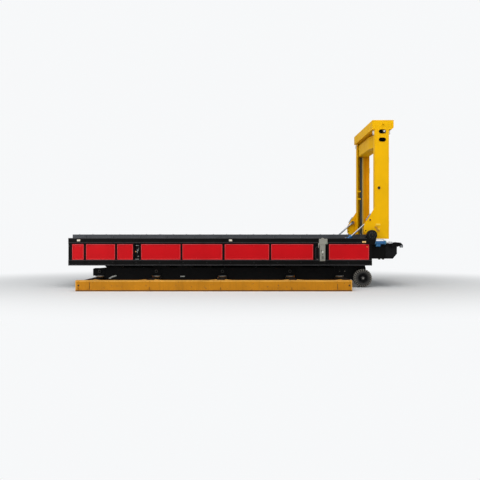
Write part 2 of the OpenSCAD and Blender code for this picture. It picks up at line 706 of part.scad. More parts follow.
module guide_rollers() {
    color([0.9, 0.9, 0.88]) mirror_y() for (xa = [column_x0 - 34, column_x0 + column_x])
        block([xa, -gate_y + 40, cap_z0 - 140], [xa + 34, -gate_y + 110, cap_z0 - 20]);
}

module tilt_brackets() {
    foot_z = cross_z1 + 14;
    ear_y = tilt_barrel_r + 14;
    color([0.1, 0.1, 0.1]) mirror_y() union() {
        block([tilt_base_x - 80, -tilt_y - ear_y - 14, cross_z1], [tilt_base_x + 80, -tilt_y + ear_y + 14, foot_z]);
        for (s = [-1, 1]) side_plate(-tilt_y + s * ear_y - 8, -tilt_y + s * ear_y + 8,
            [[tilt_base_x - 60, foot_z], [tilt_base_x + 60, foot_z], [tilt_base_x + 45, tilt_base_z + 40],
             [tilt_base_x - 45, tilt_base_z + 40]]);
        bar_y(tilt_base_x, tilt_base_z, -tilt_y - ear_y - 14, -tilt_y + ear_y + 14, tilt_pin_r);
    }
}

// Places a child that lies along +X on the tilt cylinder's line
module on_tilt_line() {
    translate([tilt_base_x, -tilt_y, tilt_base_z]) rotate([0, -tilt_angle, 0]) children();
}

module tilt_barrels() {
    color([0.14, 0.39, 0.59]) mirror_y() on_tilt_line() difference() {
        union() {
            translate([40, 0, 0]) rotate([0, 90, 0]) cylinder(r = tilt_barrel_r, h = tilt_barrel_l);
            translate([tilt_barrel_l - 15, 0, 0]) rotate([0, 90, 0]) cylinder(r = tilt_barrel_r + 6, h = 50);
            for (u = [95, tilt_barrel_l - 60]) translate([u, 0, 30]) cylinder(r = 13, h = 34);
            rotate([90, 0, 0]) translate([0, 0, -tilt_barrel_r - 4]) cylinder(r = 44, h = 2 * tilt_barrel_r + 8);
        }
        rotate([90, 0, 0]) translate([0, 0, -60]) cylinder(r = tilt_pin_r + run_gap, h = 120);
        translate([70, 0, 0]) rotate([0, 90, 0]) cylinder(r = tilt_rod_r + run_gap, h = tilt_barrel_l);
    }
}

// Rods end in an eye that lies beside the boss of the gusset
module tilt_rods() {
    color([0.86, 0.86, 0.87]) mirror_y() on_tilt_line() union() {
        translate([600, 0, 0]) rotate([0, 90, 0]) cylinder(r = tilt_rod_r, h = tilt_pin_l - 600);
        translate([tilt_pin_l, 0, 0]) rotate([90, 0, 0]) {
            translate([0, 0, -tilt_eye_w / 2]) cylinder(r = tilt_eye_r, h = tilt_eye_w);
            translate([0, 0, -tilt_eye_w / 2 - 10]) cylinder(r = tilt_pin_r, h = 10);
        }
    }
}

floor_side_beams();
floor_cross_beams();
foot_plates();
foot_blocks();
chassis_rails();
rail_lugs();
rail_skirts();
chassis_cross_tubes();
hanger_blocks();
spacer_posts();
axle_beam();
tyre_near();
tyre_far();
hub_near();
hub_far();
upper_side_rails();
lower_side_rails();
bed_posts();
end_frames();
bed_stringers();
bed_cross_members();
deck_uprights();
deck_plate();
side_covers();
carrying_belt();
drive_drum();
tail_drum();
drum_bearings();
return_rollers();
side_guides();
panels_near();
panels_far();
valve_bank();
control_box();
control_hoses();
marker_lamps();
pivot_brackets();
pivot_pins();
nose_box();
dock_brackets();
dock_hooks();
dock_barrels();
dock_rods();
gate_column_near();
gate_column_far();
column_guides();
gate_cap_beam();
gate_header_beam();
guide_rollers();
tilt_eye_pins();
tilt_brackets();
tilt_barrels();
tilt_rods();
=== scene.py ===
# %% [markdown]
# # A container loading platform, dressed for a studio picture
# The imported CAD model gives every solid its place. This script keeps those solids where their shape is right,
# gives each a material, and adds the smaller things that a maker would bolt, weld or clip on afterwards.
# All lengths are metres: +X runs along the bed to the gate, +Y goes away from the camera, +Z is up.

import json

import bmesh
import bpy
import numpy as np
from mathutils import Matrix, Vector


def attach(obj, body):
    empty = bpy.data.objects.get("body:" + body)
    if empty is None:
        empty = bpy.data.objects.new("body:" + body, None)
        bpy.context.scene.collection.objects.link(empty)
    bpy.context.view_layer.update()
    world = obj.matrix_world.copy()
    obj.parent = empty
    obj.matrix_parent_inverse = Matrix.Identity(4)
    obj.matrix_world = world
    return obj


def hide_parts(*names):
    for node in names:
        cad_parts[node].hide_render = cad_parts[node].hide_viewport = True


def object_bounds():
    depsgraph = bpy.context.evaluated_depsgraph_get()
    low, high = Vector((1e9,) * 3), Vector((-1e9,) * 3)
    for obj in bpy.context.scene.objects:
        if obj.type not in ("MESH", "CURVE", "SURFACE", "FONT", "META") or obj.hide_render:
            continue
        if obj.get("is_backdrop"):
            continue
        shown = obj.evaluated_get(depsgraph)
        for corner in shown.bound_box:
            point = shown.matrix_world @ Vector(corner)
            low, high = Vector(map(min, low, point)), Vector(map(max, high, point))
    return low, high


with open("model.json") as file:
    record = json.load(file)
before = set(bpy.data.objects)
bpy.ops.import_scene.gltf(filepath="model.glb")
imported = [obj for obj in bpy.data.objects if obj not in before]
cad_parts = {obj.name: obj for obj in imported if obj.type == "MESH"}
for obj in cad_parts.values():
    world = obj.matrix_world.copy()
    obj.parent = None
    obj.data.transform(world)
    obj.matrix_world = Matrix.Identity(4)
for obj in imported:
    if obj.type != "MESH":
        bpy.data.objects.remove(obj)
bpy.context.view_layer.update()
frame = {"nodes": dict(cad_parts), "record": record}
NODES = frame["nodes"]

# %% [markdown]
# ## Camera
# The side of the bed is parallel to the picture, and the deck edge is at eye level, so the camera looks level
# along +Y from the height of the deck. The distance comes from how much smaller the far column of the gate looks.

# %% Camera
EYE = (0.281, -14.6, 1.31)
PIXELS = 480
FOCAL_PIXELS = 507
SHIFT_PIXELS = (-6.5, -2.0)

scene = bpy.context.scene
cam_data = bpy.data.cameras.new("camera")
cam_data.sensor_width = 36
cam_data.lens = FOCAL_PIXELS / PIXELS * cam_data.sensor_width
cam_data.shift_x, cam_data.shift_y = (shift / PIXELS for shift in SHIFT_PIXELS)
camera = bpy.data.objects.new("camera", cam_data)
camera.location = EYE
camera.rotation_euler = (np.pi / 2, 0, 0)
scene.collection.objects.link(camera)
scene.camera = camera
print("lens:", round(cam_data.lens, 2), "mm")

# %% [markdown]
# ## Shader nodes
# Every material below is wired from the same few kinds of node, so one function adds a node and feeds its inputs,
# and small functions on top of it give the sums that come back: noise, spreading, products and mixing.

# %% Small helpers for shader nodes
def node(tree, kind, given, out=0, **settings):
    """Adds a shader node, feeds each input in `given` with a socket or a value, and returns one of its outputs."""
    made = tree.nodes.new("ShaderNode" + kind)
    for key, value in settings.items():
        setattr(made, key, value)
    for key, value in given.items():
        if isinstance(value, bpy.types.NodeSocket):
            tree.links.new(value, made.inputs[key])
        else:
            made.inputs[key].default_value = value
    return made.outputs[out]


def noise(tree, scale, detail=4.0, squeeze=None):
    """Noise of Object coordinates at `scale` per metre, squeezed along the axes if asked."""
    source = node(tree, "TexCoord", {}, "Object")
    if squeeze:
        source = node(tree, "Mapping", {"Scale": squeeze, "Vector": source})
    return node(tree, "TexNoise", {"Scale": scale, "Detail": detail, "Vector": source}, "Fac")


def spread(tree, value, low, high, to_low, to_high):
    """Maps low..high to to_low..to_high in a straight line, held at both ends."""
    ends = {"Value": value, "From Min": low, "From Max": high, "To Min": to_low, "To Max": to_high}
    return node(tree, "MapRange", ends, "Result")


def maths(tree, kind, first, second=0.0):
    """One sum on two sockets or numbers."""
    return node(tree, "Math", {0: first, 1: second}, operation=kind)


def mixed(tree, share, first, second):
    """first * (1 - share) + second * share, for colours given as sockets or as three numbers."""
    ends = [(*c, 1) if isinstance(c, tuple) else c for c in (first, second)]
    return node(tree, "Mix", {"Factor": share, 6: ends[0], 7: ends[1]}, 2, data_type="RGBA")


def seen_by_camera(tree, otherwise, to_camera, share=None):
    """Shows one shader to rays straight from the camera, to the given share, and the other one to all the rest."""
    ray = node(tree, "LightPath", {}, "Is Camera Ray")
    if share:
        ray = maths(tree, "MULTIPLY", share, ray)
    return node(tree, "MixShader", {0: ray, 1: otherwise, 2: to_camera})


# %% [markdown]
# ## Light
# A workshop hall has wide soft light from its roof. Three large area lamps and a pale world stand in for it, and
# only rays that the camera sends straight past the object see the world as white.

# %% Light
scene.view_settings.view_transform = "Standard"
BACKDROP = (0.93, 0.94, 0.95, 1)
HALL_LIGHT = (0.86, 0.9, 0.95, 1)

for name, place, turn, size, power in (("roof_lamp", (0, -4, 11), (20, 0, 0), 12, 900),
                                       ("front_lamp", (-10.6, -11.6, 6), (66, 0, -42), 8, 690),
                                       ("side_lamp", (13, -8, 7), (60, 0, 55), 6, 260)):
    data = bpy.data.lights.new(name, "AREA")
    data.size = size
    data.energy = power
    lamp = bpy.data.objects.new(name, data)
    lamp.location = place
    lamp.rotation_euler = np.radians(turn)
    scene.collection.objects.link(lamp)

world = bpy.data.worlds.new("hall")
scene.world = world
world.use_nodes = True
tree = world.node_tree
tree.nodes.clear()
soft = node(tree, "Background", {"Color": HALL_LIGHT, "Strength": 0.42})
sky = seen_by_camera(tree, soft, node(tree, "Background", {"Color": BACKDROP}))
tree.links.new(sky, tree.nodes.new("ShaderNodeOutputWorld").inputs["Surface"])

# %% [markdown]
# ## Floor
# A pale floor that fades into the white background with its distance from the machine.

# %% Floor
FLOOR_HALF = 60
FADE_FROM, FADE_TO = 2.6, 7

corners = [(x * FLOOR_HALF, y * FLOOR_HALF, 0) for x, y in ((-1, -1), (1, -1), (1, 1), (-1, 1))]
floor_mesh = bpy.data.meshes.new("floor")
floor_mesh.from_pydata(corners, [], [(0, 1, 2, 3)])
floor = bpy.data.objects.new("floor", floor_mesh)
scene.collection.objects.link(floor)
floor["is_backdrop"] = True
floor_paint = bpy.data.materials.new("floor_paint")
floor_paint.use_nodes = True
tree = floor_paint.node_tree
paint = tree.nodes["Principled BSDF"]
paint.inputs["Base Color"].default_value = (0.72, 0.72, 0.71, 1)
paint.inputs["Roughness"].default_value = 0.8
flat = node(tree, "VectorMath", {0: node(tree, "TexCoord", {}, "Object"), 1: (0.6, 1, 1)}, operation="MULTIPLY")
reach = node(tree, "VectorMath", {0: flat}, "Value", operation="LENGTH")
fade = node(tree, "MapRange", {"Value": reach, "From Min": FADE_FROM, "From Max": FADE_TO}, "Result",
            interpolation_type="SMOOTHSTEP")
glow = node(tree, "Emission", {"Color": BACKDROP})
tree.links.new(seen_by_camera(tree, paint.outputs[0], glow, fade), tree.nodes["Material Output"].inputs["Surface"])
floor_mesh.materials.append(floor_paint)
print("floor:", 2 * FLOOR_HALF, "m across")

# %% [markdown]
# ## Paint, steel and rubber
# A painted machine is never one flat colour: the coat varies a little, dust lies on faces that look up, paint
# chips off and the gloss is uneven. One function builds such a coat out of noise at several scales, so every
# finish on the machine is the same recipe with other numbers.

# %% The coat recipe
FINISHES, SLOT_OF = {}, {}


def linear(r, g, b):
    """Turns 0 to 255 screen numbers into linear light: ((c + 0.055) / 1.055) ** 2.4, and c / 12.92 near black."""
    c = np.array([r, g, b]) / 255
    return tuple(float(v) for v in np.where(c > 0.04045, ((c + 0.055) / 1.055) ** 2.4, c / 12.92))


def finish(name, screen, rough=0.45, metal=0.0, vary=0.12, dust=0.15, coat=0.0, shine=0.35, slot=None, streak=0.0,
           dust_colour=(0.42, 0.4, 0.37), chips=0.0, chip_colour=(0.2, 0.19, 0.18), cloud=2.2, grain=60.0, bump=0.15,
           tread=None):
    """A coat from noise at three scales, kept in FINISHES under its name. `screen` is its base as screen numbers.

    Its slot, the given one or else its own name, is kept in SLOT_OF.

    colour    = base * (1 - vary .. 1 + vary) by noise at `cloud` per metre
    chips     = share of the surface where a sharp noise shows chip_colour
    streak    = share of darker vertical runs, from noise stretched along Z
    dust      = share of dust_colour on faces that look up, by noise
    roughness = rough * (0.8 .. 1.25) by another noise; bump from noise at `grain` per metre, or squeezed by `tread`
    """
    base = linear(*screen)
    mat = bpy.data.materials.new(name)
    mat.use_nodes = True
    tree = mat.node_tree
    shader = tree.nodes["Principled BSDF"].inputs
    shader["Metallic"].default_value = metal
    shader["Coat Weight"].default_value = coat
    shader["Specular IOR Level"].default_value = shine
    darker, lighter = (tuple(c * share for c in base) for share in (1 - vary, 1 + vary))
    colour = mixed(tree, spread(tree, noise(tree, cloud), 0.3, 0.7, 0.0, 1.0), darker, lighter)
    if streak:
        runs = spread(tree, noise(tree, 5.0, 3.0, (6.0, 6.0, 0.5)), 0.5, 0.75, 0.0, streak)
        colour = mixed(tree, runs, colour, tuple(c * 0.4 for c in base))
    if chips:
        bare = spread(tree, noise(tree, 17.0, 8.0), 0.66 - 0.2 * chips, 0.69 - 0.2 * chips, 0.0, 0.85)
        colour = mixed(tree, bare, colour, chip_colour)
    if dust:
        slope = node(tree, "SeparateXYZ", {0: node(tree, "NewGeometry", {}, "Normal")}, "Z")
        patches = spread(tree, noise(tree, 9.0), 0.35, 0.7, 0.3, 1.0)
        cover = maths(tree, "MULTIPLY", spread(tree, slope, 0.25, 1.0, 0.0, dust), patches)
        colour = mixed(tree, cover, colour, dust_colour)
    tree.links.new(colour, shader["Base Color"])
    gloss = spread(tree, noise(tree, 14.0), 0.3, 0.7, rough * 0.8, min(1.0, rough * 1.25))
    tree.links.new(gloss, shader["Roughness"])
    relief = {"Strength": bump, "Distance": 0.002, "Height": noise(tree, grain, squeeze=tread)}
    tree.links.new(node(tree, "Bump", relief, "Normal"), shader["Normal"])
    FINISHES[name] = mat
    SLOT_OF[name] = slot or name
    return mat


# %% [markdown]
# ## One finish for each slot
# The record says which slot each CAD node takes its finish from, so the first table dresses all the solids. Later
# pieces take their coats from both: the second table holds what only they wear, such as zinc, rubber and the paler
# paints of painted highlights.

# %% Finishes of the slots, and where they go
finish("ochre_paint", (196, 128, 12), 0.6, dust=0.42, dust_colour=linear(222, 186, 112), streak=0.22, bump=0.25,
       chips=0.008, chip_colour=linear(140, 92, 36), shine=0.2)
finish("foot_steel", (165, 165, 160), 0.5, metal=0.5, vary=0.2, dust=0.3)
finish("black_paint", (12, 12, 12), 0.5, vary=0.3, dust=0.07, shine=0.09, dust_colour=linear(110, 106, 100))
finish("tyre_rubber", (86, 86, 84), 0.9, vary=0.2, dust=0.25, dust_colour=linear(128, 124, 116), grain=160, bump=0.4,
       cloud=9, shine=0.15)
finish("deck_steel", (76, 78, 82), 0.5, metal=0.1, vary=0.15, dust=0.18)
finish("guide_steel", (82, 86, 78), metal=0.3, vary=0.2, dust=0.1, shine=0.3)
finish("belt_rubber", (43, 42, 41), 0.75, vary=0.05, dust=0.05, grain=90, bump=0.5, cloud=0.8, tread=(3.0, 0.25, 3.0),
       shine=0.25, streak=0.1)
finish("roller_steel", (140, 140, 142), 0.35, metal=0.9, dust=0.1)
finish("red_panel", (206, 8, 20), 0.4, vary=0.05, dust=0.03, coat=0.08, bump=0.05, shine=0.12)
finish("grey_metal", (148, 147, 137), 0.5, vary=0.1, dust=0.12, streak=0.15)
# The hose rubber is mid grey, lighter than black rubber, so the hoses carry a painted sheen against the black behind
# them.
finish("hose_rubber", (62, 62, 64), 0.4, vary=0.2, dust=0.1, grain=300, bump=0.3, shine=0.5)
finish("lamp_lens", (236, 226, 205), 0.2, vary=0.05, dust=0.0, coat=0.4)
finish("gate_yellow", (247, 187, 0), 0.46, vary=0.05, dust=0.03, streak=0.04, bump=0.08, shine=0.12)
finish("white_roller", (226, 222, 210), 0.4, vary=0.06, dust=0.08)
finish("cylinder_blue", (14, 96, 152), 0.24, vary=0.08, dust=0.05, coat=0.3, shine=0.5)
finish("chromed_rod", (172, 174, 178), 0.2, metal=1.0, vary=0.06, dust=0.0, bump=0.03)

for part in frame["record"]["subparts"]:
    mesh = NODES[part["node"]].data
    mesh.materials.clear()
    mesh.materials.append(FINISHES[part["material_slot"]])
print("finishes:", len(FINISHES), "for", len(NODES), "nodes")

# %% Finishes of the added pieces
# Each row: name, screen numbers, rough, metal, vary, dust, and where it matters coat and shine.
WORN_BY_PIECES = {
    "roller_steel": [
        ("zinc_plate", (178, 180, 184), 0.35, 0.8, 0.15, 0.05), ("brass_fitting", (176, 140, 70), 0.35, 0.8, 0.15, 0.05),
        ("rim_lip", (74, 73, 70), 0.5, 0, 0.3, 0.1), ("cap_pale", (140, 138, 132), 0.4, 0, 0.15, 0.1)],
    "foot_steel": [
        ("strut_steel", (170, 170, 164), 0.45, 0.4, 0.2, 0.15), ("worn_ring", (56, 54, 50), 0.5, 0.2, 0.3, 0.1),
        ("dull_steel", (104, 98, 88), 0.5, 0.3, 0.3, 0.15)],
    "black_paint": [
        ("dark_plastic", (22, 22, 23), 0.45, 0, 0.15, 0.06, 0, 0.2), ("deep_black", (4, 4, 4), 0.8, 0, 0.2, 0, 0, 0.03),
        ("hub_paint", (17, 17, 18), 0.4, 0, 0.2, 0.05, 0, 0.2), ("hub_ring", (46, 47, 49), 0.35, 0, 0.2, 0.1, 0, 0.5),
        ("rim_paint", (14, 14, 14), 0.4, 0, 0.25, 0.06, 0, 0.15), ("rim_bead", (30, 30, 29), 0.5, 0, 0.3, 0.08),
        # rail_lip_highlight: grey, lighter than the black rails, a painted highlight on the lips.
        ("rail_lip_highlight", (48, 48, 50), 0.4, 0, 0.2, 0.12, 0, 0.3),
        ("cheek_paint", (20, 20, 21), 0.45, 0, 0.2, 0.08, 0, 0.14),
        ("end_paint", (30, 30, 31), 0.45, 0, 0.25, 0.12, 0, 0.2)],
    "grey_metal": [
        ("dull_fitting", (150, 152, 150), 0.4, 0.5, 0.25, 0.1), ("pale_edge", (176, 175, 164), 0.45, 0, 0.1, 0.12),
        ("key_white", (222, 222, 214), 0.3, 0, 0.06, 0.04), ("button_green", (70, 150, 90), 0.3, 0, 0.08, 0, 0.2)],
    "gate_yellow": [
        ("lock_yellow", (255, 214, 70), 0.4, 0, 0.06, 0.05), ("lock_orange", (196, 138, 40), 0.5, 0, 0.25, 0.15)],
    "lamp_lens": [
        ("amber_lens", (243, 196, 118), 0.3, 0, 0.1, 0, 0.2), ("orange_lens", (226, 138, 40), 0.3, 0, 0.1, 0.05, 0.2)],
    "belt_rubber": [
        ("scraper_rubber", (60, 58, 54), 0.7, 0, 0.15, 0.2), ("belt_rib", (36, 35, 34), 0.65, 0, 0.12, 0.12, 0, 0.3)],
    "tyre_rubber": [
        ("stop_rubber", (34, 34, 34), 0.8, 0, 0.15, 0.15), ("buffer_rubber", (38, 38, 38), 0.8, 0, 0.15, 0.15, 0, 0.2)],
    "guide_steel": [("pad_nylon", (70, 70, 68), 0.6, 0, 0.15, 0.15)],
    # rim_highlight_red: paler red for the crests of the panel rims, a painted highlight.
    "red_panel": [("rim_highlight_red", (226, 74, 78), 0.35, 0, 0.12, 0.05, 0.1, 0.2)],
    "cylinder_blue": [("teal_metal", (70, 128, 150), 0.3, 0.3, 0.1, 0.05, 0.2)],
    # joint_dirt_and_hole_shade: dirt in the beam joints, and painted shade in the end holes.
    "ochre_paint": [("joint_dirt_and_hole_shade", (74, 52, 26), 0.8, 0, 0.3, 0.1)],
}
for slot, rows in WORN_BY_PIECES.items():
    for row in rows:
        finish(*row, slot=slot)
finish("wear_strip", (158, 154, 136), 0.5, dust=0.1, streak=0.2, slot="guide_steel")
# top_edge_highlight: paler ochre band along the top of the side beams, a painted highlight of the upper edge, with dust
# and streaks.
finish("top_edge_highlight", (226, 168, 66), 0.6, vary=0.2, dust=0.5, dust_colour=linear(226, 196, 136), streak=0.2,
       slot="ochre_paint")
# foot_shade: dark band at the foot of the side beams, painted shade on the lower lip.
finish("foot_shade", (74, 48, 24), 0.7, vary=0.25, streak=0.3, slot="ochre_paint")
# A paler copy of the chromed rod for the docking rods: its near-white colour is a painted reflection.
finish("bright_rod", (206, 207, 208), 0.3, metal=0.35, vary=0.06, dust=0.0, bump=0.03, slot="chromed_rod")
NODES["dock_rods"].data.materials[0] = FINISHES["bright_rod"]
NODES["valve_bank"].data.materials[0] = FINISHES["black_paint"]
print("finishes in all:", len(FINISHES))

# %% [markdown]
# ## Shapes as surface functions
# A shape is a pair: an array of points, and a list of arrays of point numbers, one array for each count of
# corners. Everything is a grid wrapped over a formula, so whole arrays are worked out at once. Lengths are metres,
# but the profiles of turned shapes and the sizes of bolts are millimetres, as on a lathe drawing.

# %% Grids, joining and moving
def grid(points, wrap_u=False, wrap_v=False):
    """Quads over an (n, m, 3) array of points; a wrapped direction closes on itself."""
    n, m = points.shape[:2]
    index = np.arange(n * m).reshape(n, m)
    if wrap_u:
        index = np.vstack([index, index[:1]])
    if wrap_v:
        index = np.hstack([index, index[:, :1]])
    quads = np.stack([index[:-1, :-1], index[1:, :-1], index[1:, 1:], index[:-1, 1:]], axis=-1)
    return points.reshape(-1, 3), [quads.reshape(-1, 4)]


def rings(levels):
    """Closed band through rings of points, from the first one to the last."""
    return grid(np.array(levels, float), wrap_v=True)


def closed_turn(count):
    """`count` angles round a full turn, without the last, which is the first again."""
    return np.linspace(0, 2 * np.pi, count, endpoint=False)


def swept(x_low, x_high, count, y, z):
    """Open grid of a section, given as arrays of y and z, at `count` even steps along X."""
    x, y = np.meshgrid(np.linspace(x_low, x_high, count), y, indexing="ij")
    return grid(np.stack([x, y, np.broadcast_to(z, x.shape)], axis=-1))


def joined(*shapes):
    """One shape out of several: points are stacked and each shape's point numbers are shifted by those before it."""
    points, faces, start = [], [], 0
    for shape_points, shape_faces in shapes:
        points.append(shape_points)
        faces += [f + start for f in shape_faces]
        start += len(shape_points)
    return np.vstack(points), faces


def copies(shape, places):
    """The shape moved to each of the places."""
    return joined(*[(shape[0] + np.asarray(place), shape[1]) for place in places])


def other_side(shape):
    """The mirror image across the machine's middle plane: y becomes -y and each face turns over."""
    return shape[0] * [1, -1, 1], [f[:, ::-1] for f in shape[1]]


def spots(xs, ys, zs):
    """Every place (x, y, z) over three lists of values; a single value stands for a list of one."""
    return np.stack(np.meshgrid(xs, ys, zs, indexing="ij"), axis=-1).reshape(-1, 3)


# %% Turned shapes, plates, bars, tubes and bolts
AXES = {"x": (1, 2, 0), "y": (2, 0, 1), "z": (0, 1, 2)}


def on_axes(axis, first, second, along):
    """Points whose two coordinates across the axis and the one along it are given as arrays."""
    points = np.empty((*first.shape, 3))
    for place, values in zip(AXES[axis], (first, second, along)):
        points[..., place] = values
    return points


def turned(profile, axis="y", at=(0, 0, 0), around=24):
    """Surface of revolution: point = at + r cos t, r sin t across the axis and h along it, for each (r, h) in mm."""
    r, h = np.asarray(profile, float).T / 1000
    t = closed_turn(around)
    points = on_axes(axis, np.outer(r, np.cos(t)), np.outer(r, np.sin(t)), np.repeat(h[:, None], around, axis=1))
    return grid(points + np.asarray(at), wrap_v=True)


def with_ends(body, around, turn_over=False):
    """Closes a grid of rings of `around` points with a face over its first and its last ring."""
    first, last = np.arange(around)[None], np.arange(len(body[0]) - around, len(body[0]))[None]
    return body[0], body[1] + ([first, last[:, ::-1]] if turn_over else [first[:, ::-1], last])


def plate(outline, low, high, axis="y", round_off=0.002):
    """Plate with eased edges: the outline, drawn in by round_off at both faces, stands at four levels from low to high.

    Each corner is drawn in along the mean of its two side normals. The outline runs round once, in the two
    directions across the axis.
    """
    corners = np.asarray(outline, float)
    following = np.roll(corners, -1, axis=0)
    sides = following - corners
    sides /= np.linalg.norm(sides, axis=1)[:, None]
    normals = np.stack([sides[:, 1], -sides[:, 0]], axis=1)
    area = np.sum(corners[:, 0] * following[:, 1] - corners[:, 1] * following[:, 0])
    mean = (normals + np.roll(normals, 1, axis=0)) * np.sign(area)
    mean /= np.maximum(np.sum(mean ** 2, axis=1), 0.6)[:, None] / 2
    small = corners - mean * round_off
    flat = np.stack([small, corners, corners, small])
    height = np.array([low, low + round_off, high - round_off, high])[:, None]
    points = on_axes(axis, flat[..., 0], flat[..., 1], np.broadcast_to(height, flat.shape[:2]))
    return with_ends(grid(points, wrap_v=True), len(corners))


def side_plate(outline, low, high, round_off=0.002):
    """A plate whose outline is drawn in x and z, between two values of y."""
    return plate([(z, x) for x, z in outline], low, high, "y", round_off)


def bar(low, high, round_off=0.002):
    """Eased box between two corners."""
    (x0, y0, z0), (x1, y1, z1) = low, high
    return side_plate([(x0, z0), (x1, z0), (x1, z1), (x0, z1)], y0, y1, round_off)


def strip_between(start, end, width, y_low, y_high):
    """Flat strip from one point to another in x and z, `width` across."""
    start, end = np.array(start, float), np.array(end, float)
    way = (end - start) / np.linalg.norm(end - start)
    off = np.array([way[1], -way[0]]) * width / 2
    return side_plate([tuple(start - off), tuple(end - off), tuple(end + off), tuple(start + off)], y_low, y_high)


def tube(path, radius, around=12):
    """Round tube along a path: each point's ring stands square to the path, turned as little as possible.

    `radius` is one number or one for each point of the path.
    """
    path = np.asarray(path, float)
    tangent = np.gradient(path, axis=0)
    tangent /= np.linalg.norm(tangent, axis=1)[:, None]
    side = np.cross(tangent[0], [0.0, 0.0, 1.0] if abs(tangent[0][2]) < 0.9 else [0.0, 1.0, 0.0])
    frames = []
    for direction in tangent:
        side = side - direction * np.dot(side, direction)
        side /= np.linalg.norm(side)
        frames.append(side)
    first = np.array(frames)[:, None]
    second = np.cross(tangent, first[:, 0])[:, None]
    t = closed_turn(around)[None, :, None]
    size = np.broadcast_to(np.asarray(radius, float), len(path))[:, None, None]
    return with_ends(grid(path[:, None] + size * (np.cos(t) * first + np.sin(t) * second), wrap_v=True), around)


def weld(start, end, radius=0.005, step=0.008, ripple=0.22, wave=0.003):
    """Weld seam between two points, its radius rippled as 1 + ripple * sin(distance along it / wave)."""
    start, end = np.array(start, float), np.array(end, float)
    length = np.linalg.norm(end - start)
    s = np.linspace(0, 1, int(length / step) + 2)
    return tube(start + s[:, None] * (end - start), radius * (1 + ripple * np.sin(s * length / wave)), around=6)


def hexagon_bolts(places, size, axis="y", facing=-1):
    """Bolt heads with washers: a six-sided turned profile on a round one, `size` mm across, looking along the axis."""
    profiles = (([(0, 0.62), (0.42, 0.62), (0.5, 0.55), (0.5, 0.1)], 6),
                ([(0.68, 0.12), (0.72, 0.08), (0.72, 0)], 14), ([(0.4, 0.12), (0.68, 0.12)], 14))
    return copies(joined(*[turned(np.array(p) * size * [1, facing], axis, around=n) for p, n in profiles]), places)


def piece(name, shape, coat, body="root", slot=None, instead_of=(), smooth=30):
    """Makes the object: welds points that meet, turns faces outward, shades smooth below `smooth` degrees.

    `shape` is one shape or a list of them. `slot` is not used.
    """
    points, faces = joined(*shape) if isinstance(shape, list) else shape
    mesh = bpy.data.meshes.new(name)
    mesh.from_pydata(points.tolist(), [], [row for f in faces for row in f.tolist()])
    work = bmesh.new()
    work.from_mesh(mesh)
    bmesh.ops.remove_doubles(work, verts=work.verts, dist=1e-6)
    bmesh.ops.dissolve_degenerate(work, edges=work.edges, dist=1e-7)
    bmesh.ops.recalc_face_normals(work, faces=work.faces)
    work.to_mesh(mesh)
    work.free()
    mesh.shade_smooth()
    mesh.set_sharp_from_angle(angle=np.radians(smooth))
    mesh.materials.append(FINISHES[coat])
    made = bpy.data.objects.new(name, mesh)
    scene.collection.objects.link(made)
    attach(made, body)
    if instead_of:
        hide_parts(*instead_of)
    return made


def pair(name, shape, coat="black_paint", **more):
    """A piece that stands on the near side and, as its mirror image, on the far side."""
    near = joined(*shape) if isinstance(shape, list) else shape
    return piece(name, joined(near, other_side(near)), coat, **more)


def gate_pair(name, shape, coat="gate_yellow", **more):
    """The same on the two columns of the gate."""
    return pair(name, shape, coat, body="gate", **more)


# %% [markdown]
# ## Eased edges on the CAD solids
# Folded and cut steel has small radii that catch the light. A narrow bevel on the solids that stay gives them
# these without touching their meshes.

# %% Eased edges
EASED = {
    0.004: ["floor_side_beams", "floor_cross_beams", "chassis_rails", "hanger_blocks", "upper_side_rails",
            "lower_side_rails", "nose_box", "foot_blocks", "foot_plates", "pivot_brackets"],
    0.003: ["gate_column_near", "gate_column_far", "gate_cap_beam", "gate_header_beam", "column_guides", "rail_lugs",
            "spacer_posts", "axle_beam", "bed_posts", "end_frames", "side_guides", "control_box", "valve_bank",
            "dock_hooks", "tilt_brackets", "side_covers", "rail_skirts"],
    0.0015: ["tilt_barrels", "dock_barrels", "dock_rods", "tilt_rods", "pivot_pins", "drum_bearings", "dock_brackets"],
}
for width, names in EASED.items():
    for name in names:
        ease = NODES[name].modifiers.new("eased", "BEVEL")
        ease.width = width
        ease.segments = 2
        ease.limit_method = "ANGLE"
        ease.angle_limit = np.radians(40)
print("eased:", sum(len(names) for names in EASED.values()), "solids")

# %% [markdown]
# ## Lengths repeated from the CAD source
# The scene can't read the source, so the places that its pieces need are written here once, in metres.

# %% Places
X0, X1 = -4.4125, 3.5875
SIDE = 1.25
DECK, PANEL_TOP, PANEL_LOW, BED_LOW = 1.31, 1.15, 0.734, 0.584
PANELS = [(0.1, 0.305), (0.466, 0.764), (1.286, 0.414), (1.917, 1.037), (3.006, 1.052), (4.118, 1.173), (5.343, 1.107),
          (6.867, 1.056)]
POSTS = [(0, 0.1), (0.405, 0.061), (1.23, 0.056), (1.7, 0.04), (1.875, 0.042), (2.954, 0.052), (4.058, 0.06),
         (5.291, 0.052), (6.45, 0.05), (6.815, 0.052), (7.923, 0.077)]
PIVOT = (X1, 1.389)
TILT_EYE = (3.5635, 1.788)
GATE_Y, COLUMN_IN = 1.14, 0.99
COLUMN_X, CAP_Z, GATE_TOP = 3.6835, 4.2, 4.44
AXLE, WHEEL_Y = (3.3675, 0.244), 1.11
RAIL_Y, RAIL_LOW, RAIL_TOP = 0.955, 0.3, 0.519
BASE_X0, BASE_L, BASE_Y, BASE_TOP = -3.9225, 6.8, 2.15, 0.268
CROSS = BASE_X0 + BASE_L * np.array([0.0404, 0.264, 0.5237, 0.789, 0.9853])
BELT_Z, BELT_HALF = 1.405, 0.9
DRUM_Y, DRUM_Z = 0.985, 1.243

# %% [markdown]
# ## Red panels
# Each panel is a pressed tray: a flat middle, a groove, a rolled rim round it and a hem that turns back. A thin
# thread of paler red round it is a painted highlight on the crest of the rim.

# %% Pressed panels
TRAYS = [(X0 + a, X0 + a + w, PANEL_LOW + 0.001, PANEL_TOP - 0.001) for a, w in PANELS]


